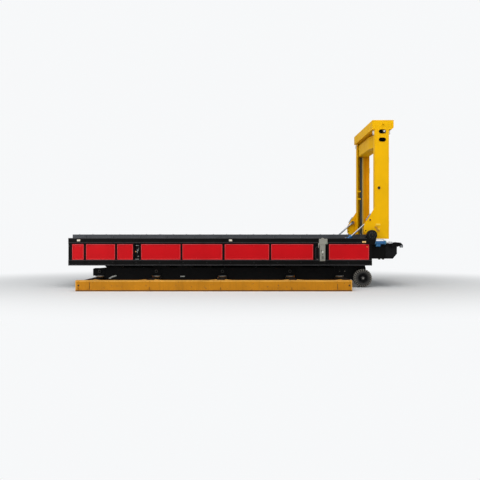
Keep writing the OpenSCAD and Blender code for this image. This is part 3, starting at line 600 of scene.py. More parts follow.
def pressed_panel(x_low, x_high, z_low, z_high, y_face=-SIDE + 0.01, depth=0.022):
    """Tray over a rectangle: how far it stands out depends only on the distance d to the nearest edge.

    Height = rim * sin(pi * d / rim width) inside the rim, a shallow groove behind it, then a very slight crown.
    The grid is fine near the edges, and its border turns back by `depth` as the hem.
    """
    edge = np.array([0, 0.003, 0.007, 0.012, 0.018, 0.024, 0.03, 0.036, 0.044, 0.055])
    u, v = (np.concatenate([low + edge, np.linspace(low + 0.08, high - 0.08, count), high - edge[::-1]])
            for low, high, count in ((x_low, x_high, 14), (z_low, z_high, 6)))
    x, z = np.meshgrid(u, v, indexing="ij")
    d = np.minimum(np.minimum(x - x_low, x_high - x), np.minimum(z - z_low, z_high - z))
    rim = 0.009 * np.sin(np.pi * np.clip(d / 0.03, 0, 1)) ** 0.8
    groove = -0.0035 * np.sin(np.pi * np.clip((d - 0.03) / 0.016, 0, 1)) ** 2
    crown = 0.0015 * np.sin(np.pi * (x - x_low) / (x_high - x_low)) * np.sin(np.pi * (z - z_low) / (z_high - z_low))
    face = np.stack([x, y_face - rim - groove - np.where(d > 0.046, crown, 0), z], axis=-1)
    ring = np.concatenate([face[:, 0], face[-1, 1:], face[-2::-1, -1], face[0, -2:0:-1]])
    back = ring.copy()
    back[:, 1] = y_face + depth
    return joined(grid(face), rings([ring, back]), (back, [np.arange(len(back))[None, ::-1]]))


def round_rectangle(x_low, x_high, z_low, z_high, steps, y=-SIDE):
    """Closed band round a rectangle: for each (g, h) a ring of corners set outward by g, and out of the face by h."""
    return rings([[(x_low - g, y - h, z_low - g), (x_high + g, y - h, z_low - g), (x_high + g, y - h, z_high + g),
                   (x_low - g, y - h, z_high + g)] for g, h in steps])


near_trays = joined(*[pressed_panel(*tray) for tray in TRAYS])
piece("red_panels_near", near_trays, "red_panel", instead_of=("panels_near",), smooth=50)
piece("red_panels_far", other_side(near_trays), "red_panel", instead_of=("panels_far",), smooth=50)
CREST = [(-0.0195, -0.003), (-0.0165, -0.0005), (-0.0105, -0.0005), (-0.0075, -0.003)]
# The paler red crest round each tray is a painted highlight.
pair("panel_rims", [round_rectangle(*tray, CREST) for tray in TRAYS], "rim_highlight_red", smooth=60)
print("panels:", 2 * len(PANELS))

# %% [markdown]
# Dished screws hold the trays at their corners and along the longer ones.

# %% Panel screws
SCREW_STEP, SCREW_EDGE = 0.36, 0.05

button_head = turned([(0, -6), (5, -5.5), (8.5, -3), (9.5, 2)], around=12)
screws = []
for x_low, x_high, _, _ in TRAYS:
    count = max(2, int(round((x_high - x_low) / SCREW_STEP)) + 1)
    screws += [*spots(np.linspace(x_low + SCREW_EDGE, x_high - SCREW_EDGE, count), -SIDE + 0.0075,
                      (PANEL_LOW + 0.052, PANEL_TOP - 0.052))]
pair("panel_screws", copies(button_head, screws), "red_panel")
print("screws:", 2 * len(screws))

# %% [markdown]
# ## Side rails
# Both rails are folded channels. Narrow lips run along them, painted lighter grey than the rails as a painted
# highlight. Weld seams and bolts mark where the posts meet them, more bolts run along the upper rail, and rubber plugs
# close the drain holes of the lower one.

# %% Lips and seams of the rails
def long_lip(z, out, height):
    """Half-round lip along the bed: a section of seven points swept along X."""
    t = np.linspace(-np.pi / 2, np.pi / 2, 7)
    lip = swept(X0 + 0.004, X1 - 0.004, 41, -SIDE - out * np.cos(t), z + height / 2 * np.sin(t))
    return with_ends(lip, len(t), turn_over=True)


def seam(x, z_low, z_high):
    """Upright weld seam: a thin tube whose radius ripples as 1 + 0.25 sin(z / 2.2 mm)."""
    z = np.linspace(z_low, z_high, int((z_high - z_low) / 0.0055) + 2)
    path = np.stack([np.full_like(z, x), np.full_like(z, -SIDE), z], axis=1)
    return tube(path, 0.0045 * (1 + 0.25 * np.sin(z / 0.0022)), around=6)


INNER_POSTS = POSTS[1:-1]
# The lips carry a lighter grey than the rails: a painted highlight.
lips = [long_lip(DECK - 0.123, 0.005, 0.014), long_lip(DECK - 0.009, 0.004, 0.016),
        long_lip(PANEL_LOW - 0.01, 0.004, 0.014), long_lip(BED_LOW + 0.012, 0.006, 0.02)]
pair("rail_lips", lips, "rail_lip_highlight", smooth=60)
seams = [seam(X0 + a + e, PANEL_TOP + 0.012, DECK - 0.14) for a, w in INNER_POSTS for e in (0, w)]
seams += [seam(X0 + a + e, BED_LOW + 0.03, PANEL_LOW - 0.03) for a, w in INNER_POSTS for e in (0.004, w - 0.004)]
pair("rail_seams", seams, smooth=60)
rail_bolts = [*spots([X0 + a + w / 2 for a, w in POSTS], -SIDE, (DECK - 0.055, BED_LOW + 0.045, PANEL_LOW - 0.038)),
              *spots(np.arange(X0 + 0.72, X1 - 0.3, 0.36), -SIDE, DECK - 0.055)]
pair("rail_bolts", hexagon_bolts(rail_bolts, 22))
plug = turned([(0, -4), (11, -5), (17, -3), (19, 1)], around=16)
plugs = spots(np.arange(X0 + 0.55, X1 - 0.4, 0.62), -SIDE, BED_LOW + 0.08)
pair("rail_plugs", copies(plug, plugs), "dark_plastic", slot="hose_rubber")
print("rail bolts:", 2 * len(rail_bolts), "seams:", 2 * len(seams))

# %% [markdown]
# Thin straps and angle cleats tie the posts to both rails, as the faint lines beside the panels show.

# %% Post cleats
cleats = []
for a, w in INNER_POSTS:
    centre = X0 + a + w / 2
    for z, way in ((PANEL_TOP, -1), (PANEL_LOW, 1)):
        outline = [(centre + share * w, z + drop) for share, drop in
                   ((-0.42, 0), (0.42, 0), (0.3, way * 0.07), (-0.3, way * 0.07))]
        cleats.append(side_plate(outline[::way], -SIDE + 0.002, -SIDE + 0.012))
pair("post_cleats", cleats)
print("cleats:", 2 * len(cleats))

# %% [markdown]
# ## Gate
# The column is a channel: dark plates behind its slots and holes are painted shade, collars are pressed round them,
# weld seams run along its flanges, and nylon pads guide it against the container.

# %% Slots, collars and seams of the columns
WEB = -GATE_Y
SLOT_X = COLUMN_X + 0.205
SLOTS = [(SLOT_X, CAP_Z - 0.06), (SLOT_X, CAP_Z - 0.277)]
PIN_HOLE = (COLUMN_X + 0.118, DECK + 1.33)
GREASE_HOLE = (X1 - 0.141, PIVOT[1] + 0.12)


def behind_web(x, z, half_x, half_z, near, far, round_off):
    """Eased plate behind the column's web, centred on a hole."""
    return bar((x - half_x, WEB + near, z - half_z), (x + half_x, WEB + far, z + half_z), round_off)


def collar(x, z, hole, out=7, wide=14):
    """Pressed collar round a hole: a half-round ring, turned about Y."""
    t = np.linspace(0, np.pi, 7)
    profile = np.stack([hole + wide / 2 + wide / 2 * np.cos(t), -out * np.sin(t)], axis=1)
    return turned(profile, at=(x, WEB, z), around=36)


def stadium(x, z, half_run, radius, count=12):
    """Outline of a slot that lies along X: two half circles joined by straight sides."""
    t = np.linspace(-np.pi / 2, np.pi / 2, count)
    arc = np.stack([half_run + radius * np.cos(t), radius * np.sin(t)], axis=1)
    return np.concatenate([arc, -arc]) + [x, z]


def slot_rim(x, z):
    """Folded rim round a slot: its outline walked by a thin half-round section, as rings between three offsets."""
    levels = []
    for grow, out in ((0, 0), (0.002, 0.006), (0.009, 0.007), (0.013, 0)):
        flat = stadium(x, z, 0.038, 0.056 + grow)
        levels.append(np.stack([flat[:, 0], np.full(len(flat), WEB - out), flat[:, 1]], axis=1))
    return rings(levels)


# Dark plates behind the slots and the pin hole: painted shade inside the column.
shade_plates = [behind_web(x, z, 0.11, 0.07, 0.026, 0.03, 0.001) for x, z in SLOTS]
gate_pair("slot_shade_plates", [*shade_plates, behind_web(*PIN_HOLE, 0.055, 0.055, 0.026, 0.03, 0.001)], "dark_plastic")
second_tie = bar((COLUMN_X + 0.014, -COLUMN_IN - 0.014, 2.722), (COLUMN_X + 0.11, -COLUMN_IN, 2.762), 0.004)
gate_pair("column_covers", [behind_web(*PIN_HOLE, 0.06, 0.06, 0.031, 0.036, 0.002), second_tie])
for name, coat, slot, a, b in (("guide_rubbers", "dark_plastic", "tyre_rubber", 0.1, 0.15),
                               ("guide_edges", "gate_yellow", None, 0.17, 0.216),
                               ("guide_wear_strips", "wear_strip", None, 0.152, 0.168)):
    gate_pair(name, bar((COLUMN_X + a, -1.1025, 1.32), (COLUMN_X + b, -1.012, 3.79), 0.003), coat, slot=slot)

faces = [side_plate(stadium(x, z - 0.004, 0.04, 0.0565), WEB - 0.0015, WEB + 0.02, 0.001) for x, z in SLOTS]
grease_face = turned([(0, -1.5), (15.5, -1.5), (15.8, 20)], at=(GREASE_HOLE[0], WEB, GREASE_HOLE[1]))
gate_pair("slot_shadows", [*faces, grease_face], "deep_black", smooth=20)
roller_face = turned([(0, -4), (20, -4), (26, -2), (27, 10)], at=(SLOT_X + 0.052, WEB, SLOTS[0][1] + 0.008),
                     around=28)
gate_pair("roller_faces", roller_face, "white_roller", smooth=50)
rims = [slot_rim(*spot) for spot in SLOTS] + [collar(*PIN_HOLE, 41), collar(*GREASE_HOLE, 16, 4, 10)]
gate_pair("slot_rims", rims, smooth=60)
FLANGE = WEB + 0.027
seam_lines = [((COLUMN_X + 0.02, FLANGE, 2.2), (COLUMN_X + 0.02, FLANGE, CAP_Z - 0.02)),
              ((COLUMN_X + 0.36, FLANGE, 1.31), (COLUMN_X + 0.36, FLANGE, CAP_Z - 0.02)),
              ((COLUMN_X - 0.055, WEB, CAP_Z), (COLUMN_X + 0.45, WEB, CAP_Z)),
              ((COLUMN_X + 0.002, WEB, 2.12), (COLUMN_X + 0.002, WEB, CAP_Z - 0.15))]
gate_pair("gate_seams", [weld(*line) for line in seam_lines], smooth=60)

# %% Pads, cap plates and bolts of the gate
PAD_LOW, PAD_HIGH = CAP_Z - 0.14, CAP_Z - 0.02
CAP_X0, CAP_X1 = COLUMN_X - 0.06, COLUMN_X + 0.505

pads, studs_at = [], []
for inner, outer, way in ((COLUMN_X, COLUMN_X - 0.034, -1), (COLUMN_X + 0.38, COLUMN_X + 0.414, 1)):
    outline = [(inner, PAD_LOW), (outer, PAD_LOW + 0.014), (outer, PAD_HIGH - 0.014), (inner, PAD_HIGH)]
    pads.append(side_plate(outline[::way], WEB + 0.04, WEB + 0.11, 0.006))
    studs_at += [(outer - way * 0.004, WEB + 0.075, z) for z in (PAD_LOW + 0.035, PAD_HIGH - 0.035)]
gate_pair("guide_pads", pads, "white_roller", instead_of=("guide_rollers",), smooth=50)
stud = turned([(0, -12), (8, -10), (12, -4), (12, 12), (8, 20), (0, 20)], "x", around=12)
gate_pair("pad_studs", copies(stud, studs_at), "zinc_plate")
cap_bolts = [(CAP_X0 + 0.09, WEB, CAP_Z + 0.1), (CAP_X0 + 0.5, WEB, CAP_Z + 0.13)]
gate_pair("gate_bolts", hexagon_bolts(cap_bolts, 24))
eye = turned([(19, -12), (26, -14), (42, -12), (46, 0)], at=(CAP_X0 + 0.2825, WEB, CAP_Z + 0.12), around=32)
gate_pair("rigging_eyes", eye, smooth=50)
strip = bar((CAP_X0 + 0.004, -1.136, GATE_TOP - 0.004), (CAP_X1 - 0.004, -1.1, GATE_TOP + 0.004), 0.003)
gate_pair("gate_strips", strip)

# %% [markdown]
# Beside the pivot, a pale strip along the edge of the gusset is a painted highlight, and a lock plate with its handle
# lies over the web.

# %% Painted highlight strip, lock and eye cover
EYE_AT = (TILT_EYE[0], WEB, TILT_EYE[1])


def ring_of(count, radius, centre, start):
    """Places spread evenly round a circle that faces along Y, the first one at the angle `start`."""
    t = closed_turn(count) + start
    return np.stack([radius * np.cos(t), 0 * t, radius * np.sin(t)], axis=1) + centre


# The pale strip on the gusset edge is a painted highlight.
gate_pair("gusset_highlight_strip", strip_between((3.455, 1.785), (3.572, 1.955), 0.03, WEB - 0.007, WEB + 0.002), "zinc_plate")
lock = [bar((3.71, WEB - 0.02, 1.642), (3.83, WEB, 1.69), 0.006),
        bar((3.78, WEB - 0.018, 1.535), (3.815, WEB, 1.565), 0.005)]
gate_pair("lock_blocks", lock, "lock_yellow")
arms = [strip_between(start, end, width, WEB - out, WEB + 0.002) for start, end, width, out in (
    ((3.685, 1.615), (3.735, 1.565), 0.034, 0.012), ((3.735, 1.61), (3.745, 1.51), 0.034, 0.01),
    ((3.745, 1.53), (3.81, 1.49), 0.036, 0.014))]
gate_pair("lock_arms", arms, "lock_orange")
centre = turned([(0, -6), (14, -6), (18, -9), (22.5, -8), (22.5, 0)], at=EYE_AT, around=32)
gate_pair("eye_centres", centre, "dark_plastic", smooth=50)
cover = turned([(21, -4), (24, -11), (32, -12), (35, -6), (50, -6), (54, 0)],
               at=EYE_AT, around=32)
eye_bolts = ring_of(4, 0.04, (EYE_AT[0], WEB - 0.006, EYE_AT[2]), 0.8)
gate_pair("eye_covers", [cover, hexagon_bolts(eye_bolts, 11)])

# %% [markdown]
# ## Pivot hubs
# A turned cover with a ring of bolts, a raised cap and a grease nipple closes each pivot.

# %% Pivot hubs
HUB_AT = (PIVOT[0], -SIDE - 0.02, PIVOT[1])

cover = turned([(0, -36), (20, -36), (30, -31), (58, -30), (64, -24), (66, -12),
                (92, -11), (96, -14), (118, -14), (124, -10), (126, 0)], at=HUB_AT, around=48)
pair("hub_covers", cover, "hub_paint", smooth=50)
# The raised ring is grey, lighter than the black cover: a painted highlight.
raised = turned([(70, -11), (74, -20), (84, -20), (89, -11)], at=HUB_AT, around=48)
pair("hub_rings", raised, "hub_ring", smooth=50)
pair("hub_bolts", hexagon_bolts(ring_of(8, 0.079, (PIVOT[0], -SIDE - 0.031, PIVOT[1]), 0.4), 17))
nipple = turned([(0, -18), (4, -17), (6, -12), (4, -8), (7, -4), (7, 4)],
                at=(PIVOT[0], -SIDE - 0.055, PIVOT[1]), around=12)
pair("grease_nipples", nipple, "brass_fitting")

# %% [markdown]
# ## Cylinders
# Rings, glands and pipes make a plain barrel read as a cylinder. The tilt cylinder's parts are shaped along X from
# its base pin and then turned onto its line; the docking cylinder lies along X already and is only moved.

# %% Tilt cylinders
TILT = np.radians(41.5)
TILT_Y, TILT_LENGTH = 1.061, 1.349
TILT_BASE = np.array([TILT_EYE[0] - TILT_LENGTH * np.cos(TILT), -TILT_Y, TILT_EYE[1] - TILT_LENGTH * np.sin(TILT)])


def on_tilt_line(*shapes):
    """Turns (along u, across v, up w) of the cylinder to the machine: x = u cos a - w sin a, z = u sin a + w cos a."""
    points, faces = joined(*shapes)
    u, v, w = points.T
    c, s = np.cos(TILT), np.sin(TILT)
    return np.stack([u * c - w * s, v, u * s + w * c], axis=1) + TILT_BASE, faces


gland = [turned(profile, "x", around=36) for profile in (
    [(26, 710), (40, 708), (52, 700), (54, 690), (54, 660), (50, 655), (50, 642), (44, 640)],
    [(42.5, 60), (47, 62), (47, 74), (42.5, 76)],
    [(42.5, 340), (45.5, 342), (45.5, 356), (42.5, 358)])]
pair("tilt_glands", on_tilt_line(*gland), "cylinder_blue", body="tilt_barrel", smooth=50)
feed = tube([(0.095, 0, 0.05), (0.095, 0, 0.066), (0.11, 0, 0.074), (0.14, 0, 0.076), (0.5, 0, 0.076), (0.56, 0, 0.074),
             (0.59, 0, 0.064)], 0.006, 10)
unions = [turned([(6.5, 44), (12, 45), (12, 62), (6.5, 63)], "z", (u, 0, 0), 6) for u in (0.095, 0.59)]
pair("tilt_feed_pipes", on_tilt_line(feed, *unions), "zinc_plate", body="tilt_barrel", slot="chromed_rod", smooth=50)
clips = [bar((u, -0.012, 0.038), (u + 0.016, 0.012, 0.083), 0.003) for u in (0.2, 0.44)]
pair("tilt_pipe_clips", on_tilt_line(*clips), "dark_plastic", body="tilt_barrel")
wiper = turned([(24.5, 1270), (33, 1272), (36, 1280), (36, 1300), (24.5, 1310)], "x", around=32)
pair("tilt_rod_nuts", on_tilt_line(wiper), "zinc_plate", body="tilt_rod", slot="chromed_rod", smooth=40)

# %% Docking cylinders and hooks
DOCK_Y = 1.195
DOCK_BASE = (3.6375, -DOCK_Y, 1.189)
HOOK_PIN = (4.1305, -DOCK_Y, 1.097)
PIPE_UP = 0.077

barrel = joined(turned([(44.5, 34), (48, 36), (48, 48), (44.5, 50)], "x", around=36),
                turned([(48.5, 300), (52, 303), (52, 326), (46, 332), (20, 334), (19, 330)], "x",
                       around=36),
                turned([(36.5, 74), (38.5, 78), (38.5, 86), (36.5, 90)], "x", (0, 0, -0.072), 30))
pair("dock_rings", copies(barrel, [DOCK_BASE]), "teal_metal", body="dock_barrel", smooth=50)
BEND = ((0, 0.05), (0, 0.066), (0.006, 0.074), (0.016, PIPE_UP), (0.05, PIPE_UP))
elbows = [tube([(u + s * along, 0, up) for along, up in BEND], 0.008) for u, s in ((0.062, 1), (0.28, -1))]
pipes = joined(*elbows, tube([(0.1, 0, PIPE_UP), (0.24, 0, PIPE_UP)], 0.006, 10))
pair("dock_pipes", copies(pipes, [DOCK_BASE]), "zinc_plate", body="dock_barrel", slot="chromed_rod", smooth=50)
tip = bar((4.348, -DOCK_Y - 0.018, 1.06), (4.4, -DOCK_Y + 0.018, 1.118), 0.006)
pair("hook_tips", tip, "zinc_plate", body="dock_hook")
hook_bolts = [(x, -DOCK_Y - 0.015, z) for x, z in ((4.18, 1.12), (4.24, 1.13), (4.3, 1.13))]
pair("hook_bolts", hexagon_bolts(hook_bolts, 20), body="dock_hook")
cap = turned([(0, -40), (14, -38), (18, -34), (26, -33), (28, -28), (28, -18)], at=HOOK_PIN)
pair("hook_pin_caps", cap, smooth=50)

# %% [markdown]
# ## Wheels
# The tyre is one grid: its section runs from bead to bead and its radius carries the lugs. The rim is a turned
# dish whose hand holes are pressed into the same grid.

# %% Tyres
TYRE_WIDTH, BEAD = 0.14, 0.1245
LUGS, LEAN = 24, 18


def tyre(side, around=264):
    """Section swept round the axle; on the tread the radius drops between lugs.

    Lug height at angle t and place w across = smooth step of cos(24 t - 18 |w| + half turn for w > 0), so that the
    lugs of the two halves are set half a step apart and lean. The shoulders take a share of it, the side walls none.
    """
    across, radius, share = np.array([
        (0.36, 0.125, 0), (0.42, 0.13, 0), (0.48, 0.145, 0), (0.5, 0.165, 0.1), (0.5, 0.185, 0.4), (0.49, 0.203, 0.8),
        (0.46, 0.216, 1), (0.4, 0.224, 1), (0.3, 0.2235, 1), (0.2, 0.2235, 1), (0.1, 0.2235, 1),
        (0.03, 0.2235, 0.25)]).T
    bands = 0.0012 * (np.abs(across - 0.485) < 0.012)
    across = TYRE_WIDTH * np.concatenate([-across, across[::-1]])[:, None]
    radius, share, bands = (np.concatenate([half, half[::-1]])[:, None] for half in (radius, share, bands))
    t = closed_turn(around)
    wave = np.cos(LUGS * t - LEAN * np.abs(across) + np.where(across < 0, 0, np.pi))
    r = radius + 0.0195 * share * np.clip(0.5 + 3.2 * wave, 0, 1) ** 0.8 + bands
    r = np.concatenate([r, np.full((1, around), BEAD)])
    y = np.broadcast_to(side * WHEEL_Y + np.append(across, 0)[:, None], r.shape)
    return grid(np.stack([AXLE[0] + r * np.sin(t), y, AXLE[1] + r * np.cos(t)], axis=-1), wrap_u=True, wrap_v=True)


def tyre_coat(name, side):
    """Tyre rubber with painted shade towards the bead and between the lugs, and a painted highlight on the lugs' tops.

    The groove mask repeats the tyre's own wave, cos(24 t - 18 |w| + half turn for w > 0), with t the angle round the
    axle and w the place across; it counts beyond 0.18 m from the axle, where the shoulders start.
    """
    tree = finish(name, (66, 65, 63), 0.9, vary=0.2, dust=0.12, dust_colour=linear(120, 116, 108), grain=160, bump=0.4,
                  cloud=9, shine=0.1, slot="tyre_rubber").node_tree
    base = tree.nodes["Principled BSDF"].inputs["Base Color"]

    def do(kind, first, second=0):
        return maths(tree, kind, first, second)

    def share(value, *ends):
        return spread(tree, value, *ends)

    spot = tree.nodes.new("ShaderNodeSeparateXYZ")
    tree.links.new(node(tree, "TexCoord", {}, "Object"), spot.inputs[0])
    middle = (AXLE[0], side * WHEEL_Y, AXLE[1])
    x, w, z = (do("SUBTRACT", spot.outputs[k], middle[k]) for k in range(3))
    r = do("SQRT", do("ADD", do("MULTIPLY", x, x), do("MULTIPLY", z, z)))
    turn = do("SUBTRACT", do("MULTIPLY", do("ARCTAN2", x, z), LUGS), do("MULTIPLY", do("ABSOLUTE", w), LEAN))
    wave = do("COSINE", do("ADD", turn, do("MULTIPLY", do("GREATER_THAN", w, 0), np.pi)))
    # groove is painted shade between the lugs; crown is a painted highlight on the lugs' tops.
    groove = do("MULTIPLY", share(wave, -0.45, 0, 0.9, 0), share(r, 0.176, 0.188, 0, 1.0))
    crown = do("MULTIPLY", share(r, 0.18, 0.2, 0, 0.8), share(wave, -0.05, 0.3, 0, 1.0))
    # Painted shade on the inner side wall, darkest at the bead.
    colour = mixed(tree, share(r, 0.128, 0.15, 0.9, 0), base.links[0].from_socket, linear(20, 20, 20))
    for mask, shade in ((crown, linear(136, 131, 122)), (groove, linear(14, 14, 14))):
        colour = mixed(tree, mask, colour, shade)
    tree.links.new(colour, base)
    return name


WHEELS = (("near", -1), ("far", 1))
for name, side in WHEELS:
    piece(f"tyre_tread_{name}", tyre(side), tyre_coat(f"shaded_tyre_{name}", side), body=f"wheel_{name}",
          instead_of=(f"tyre_{name}",), smooth=45)
print("tyres:", len(WHEELS))


# %% Rims
def rim_disc(around=120, holes=5):
    """Dish of the rim seen from outside: a grid over radius and angle, drawn on the near side.

    Depth follows the turned section, and inside each hand hole it sinks by 24 mm * s^2 (3 - 2 s), where s runs from
    0 at the hole's edge, 15.5 mm from its middle, to 1 four mm further in, which leaves a crisp dark cup.
    """
    r, y = np.array([
        (0, -0.058), (0.02, -0.058), (0.034, -0.055), (0.036, -0.046), (0.052, -0.045), (0.056, -0.042),
        (0.0585, -0.022), (0.064, -0.018), (0.07, -0.016), (0.076, -0.015), (0.082, -0.014), (0.088, -0.014),
        (0.094, -0.0145), (0.1, -0.016), (0.106, -0.022), (0.11, -0.04), (0.114, -0.052), (0.118, -0.0555),
        (0.1235, -0.056)]).T[:, :, None]
    t = closed_turn(around)
    x, z = r * np.cos(t), r * np.sin(t)
    gap = np.min([np.hypot(x - 0.082 * np.cos(c), z - 0.082 * np.sin(c)) for c in closed_turn(holes) + 0.35], axis=0)
    sink = np.clip((0.0155 - gap) / 0.004, 0, 1)
    return grid(np.stack([z, y + 0.024 * sink * sink * (3 - 2 * sink), x], axis=-1), wrap_v=True)


rim_back = turned([(123.5, -56), (124.5, -50), (124.8, 50), (123.5, 54), (112, 52), (109, 30),
                   (100, 12), (60, 12), (56, 55), (30, 58), (25.5, 58), (25.5, 0)], around=60)
nuts = hexagon_bolts(ring_of(5, 0.0435, (0, -0.046, 0), np.pi / 2), 16)
valve = tube([(0.1, -0.018, 0), (0.1, -0.03, 0), (0.102, -0.044, 0)], 0.004, 10)
lip = turned([(116.5, -55.5), (118, -59), (122, -59.5), (124.5, -56)], around=72)
cap = turned([(26.2, -64), (34, -63), (36, -57)])
for name, side in WHEELS:
    for label, shape, coat in (("rim", joined(rim_disc(), rim_back), "rim_paint"),
                               ("rim_nuts", joined(nuts, valve), "rim_lip"),
                               ("rim_lip", lip, "rim_bead"), ("rim_cap", cap, "rim_lip")):
        placed = copies(shape, [(AXLE[0], -WHEEL_Y, AXLE[1])])
        piece(f"{label}_{name}", placed if side < 0 else other_side(placed), coat, body=f"wheel_{name}",
              instead_of=(f"hub_{name}",) if label == "rim" else (), smooth=40)

# %% Stub axle ends and axle arms
ARM_Y = -1.012

stub_end = turned([(0, -12), (12, -11.5), (20, -9), (24.5, -2), (25.5, 4)],
                  at=(AXLE[0], -WHEEL_Y - 0.078, AXLE[1]), around=28)
pair("stub_ends", stub_end, "cap_pale", smooth=50)
# The arm plate's lower edge reaches down towards the floor, so its black fills the shade behind the wheel: painted
# shade.
arm = side_plate([(2.74, 0.32), (2.92, 0.22), (3.08, 0.205), (3.18, 0.125), (3.38, 0.125), (3.43, 0.3), (3.41, 0.5),
                  (2.9, 0.515), (2.74, 0.515)], ARM_Y, -1.0, 0.004)
rest = bar((3.06, -0.985, 0.517), (3.47, -0.915, 0.586), 0.006)
arm_bolts = [(x, ARM_Y, z) for x, z in ((2.8, 0.37), (2.8, 0.46), (2.95, 0.36), (2.95, 0.46), (3.2, 0.46))]
pair("axle_arms", [arm, rest, hexagon_bolts(arm_bolts, 26)])
pair("foot_bolts", hexagon_bolts(spots((2.772, 2.908), ARM_Y, 0.42), 30), "dull_steel")

# %% [markdown]
# ## Undercarriage
# Bolts and rings on the lug plates, clamps at the saddles, gussets on the hangers, hydraulic pipes along the
# stringers and a support strut beside the first foot.

# %% Plates, clamps and gussets
OUT = -RAIL_Y - 0.055
SADDLE = BASE_TOP + 0.03

lug_bolts = spots(np.add.outer(CROSS, (-0.105, 0.105)), OUT - 0.014, (RAIL_LOW + 0.045, RAIL_TOP - 0.05))
pair("lug_bolts", hexagon_bolts(lug_bolts, 30))
lug_face = turned([(26, -44), (28, -47), (40, -47), (43.5, -43)], around=30)
pair("lug_faces", copies(lug_face, spots(CROSS[:-1], OUT, RAIL_LOW + 0.12)), "worn_ring",
     smooth=50)
clamps = []
for x in (centre + dx for centre in CROSS for dx in (-0.085, 0.085)):
    clamps.append(bar((x - 0.022, OUT - 0.05, SADDLE - 0.014), (x + 0.022, OUT - 0.004, SADDLE), 0.004))
    clamps.append(hexagon_bolts([(x, OUT - 0.036, SADDLE)], 24, "z", 1))
pair("saddle_clamps", clamps, "dull_steel")
HANGERS = ((0.885, 0.54), (2.143, 0.52), (2.8, 0.5), (5.7, 0.54), (7.01, 0.56))
outline = [(OUT, RAIL_TOP - 0.02), (OUT - 0.045, BED_LOW), (OUT, BED_LOW)]
pair("hanger_gussets", [plate(outline, X0 + a - 0.006, X0 + a + 0.006, "x") for start, length in HANGERS
                        for a in (start + 0.14, start + length - 0.14)])
strut = [tube([(-3.375, OUT - 0.04, 0.235), (-3.33, OUT - 0.04, 0.262), (-3.215, OUT - 0.04, 0.3)], 0.022, 14),
         bar((-3.4, OUT - 0.055, 0.228), (-3.352, OUT - 0.01, 0.252), 0.004),
         bar((-3.225, OUT - 0.055, 0.283), (-3.195, OUT, 0.315), 0.004),
         bar((-1.49, OUT - 0.06, 0.27), (-1.365, OUT - 0.002, 0.3), 0.005)]
pair("support_struts", strut, "strut_steel")
xs = np.linspace(X0 + 0.3, X1 - 0.5, 24)
pipes = [tube(np.stack([xs, np.full(24, -0.885), z + 0.0015 * np.sin(xs * 3 + k)], axis=1), 0.0065, 8)
         for k, z in enumerate((0.606, 0.626))]
pair("stringer_pipes", pipes, "zinc_plate", slot="chromed_rod", smooth=50)
clips = [bar((x, -0.902, 0.596), (x + 0.024, -0.876, 0.637), 0.003) for x in np.arange(X0 + 0.5, X1 - 0.6, 0.75)]
pair("stringer_clips", clips, "dark_plastic")

# %% [markdown]
# ## Floor frame
# The side beams are channels welded from lengths, so dark joints with bolts break their faces. Stiffeners stand
# inside, gusset plates and weld seams hold the cross beams; a paler band along the top is a painted highlight with dust
# in it, and a dark band at the foot is painted shade.

# %% Joints, painted highlight and shade bands, and ends of the side beams
FACE = -BASE_Y
BASE_X1 = BASE_X0 + BASE_L
SPLICES = {-3.854: 0.12, -3.577: 0.22, -2.107: 0.11, -0.355: 0.1, 1.393: 0.1, 2.519: 0.18}


def edge_band(z_low, z_high, out, wobble):
    """Long thin strip on the beam's face whose lower edge wanders by a sum of two sines; it carries the painted
    highlight along the top and the painted shade at the foot.
    """
    x = np.linspace(BASE_X0 + 0.01, BASE_X1 - 0.01, 60)
    low = z_low + wobble * (np.sin(x * 5.1) + 0.6 * np.sin(x * 13.7 + 1))
    high = np.full_like(x, z_high)
    rows = ((FACE + 0.001, low), (FACE - out, low + 0.002), (FACE - out, high), (FACE + 0.001, high))
    return grid(np.stack([np.stack([x, np.full_like(x, y), z], axis=1) for y, z in rows]))


ticks = [tube([(x, FACE - 0.001, 0.02), (x + 0.002, FACE - 0.001, 0.07), (x, FACE - 0.001, top)], 0.0055, 8)
         for x, top in SPLICES.items()]
pair("beam_joints", ticks, "joint_dirt_and_hole_shade", smooth=60)
joint_bolts = [(x + dx, FACE, z) for x in SPLICES for dx, z in ((-0.035, 0.06), (0.035, 0.06), (0, 0.232))]
pair("joint_bolts", hexagon_bolts(joint_bolts, 22), "ochre_paint")
# Painted highlight along the top of each side beam's face.
pair("top_highlight_bands", edge_band(BASE_TOP - 0.03, BASE_TOP - 0.003, 0.0015, 0.002), "top_edge_highlight")
# Pale strips at the ends of the side beams: painted highlights on the end edges.
pair("beam_end_highlights", [bar((x, FACE - 0.002, 0.03), (x + 0.02, FACE + 0.001, BASE_TOP - 0.006), 0.001)
                         for x in (BASE_X0 + 0.004, BASE_X1 - 0.024)], "top_edge_highlight")
# Each end hole is a dark disc on the face: painted shade inside the hole.
end_hole = turned([(0, -1), (16, -1), (20, -3), (23, 0)])
pair("beam_end_holes", copies(end_hole, spots((BASE_X0 + 0.075, BASE_X1 - 0.068), FACE, 0.145)),
           "joint_dirt_and_hole_shade", smooth=50)
# Painted shade along the foot of each side beam.
pair("foot_lines", edge_band(0.002, 0.026, 0.0098, 0.0015), "foot_shade")

# %% Stiffeners, seams and anchors
FLANGE_ENDS = [(x, s) for x in CROSS for s in (-1, 1)]

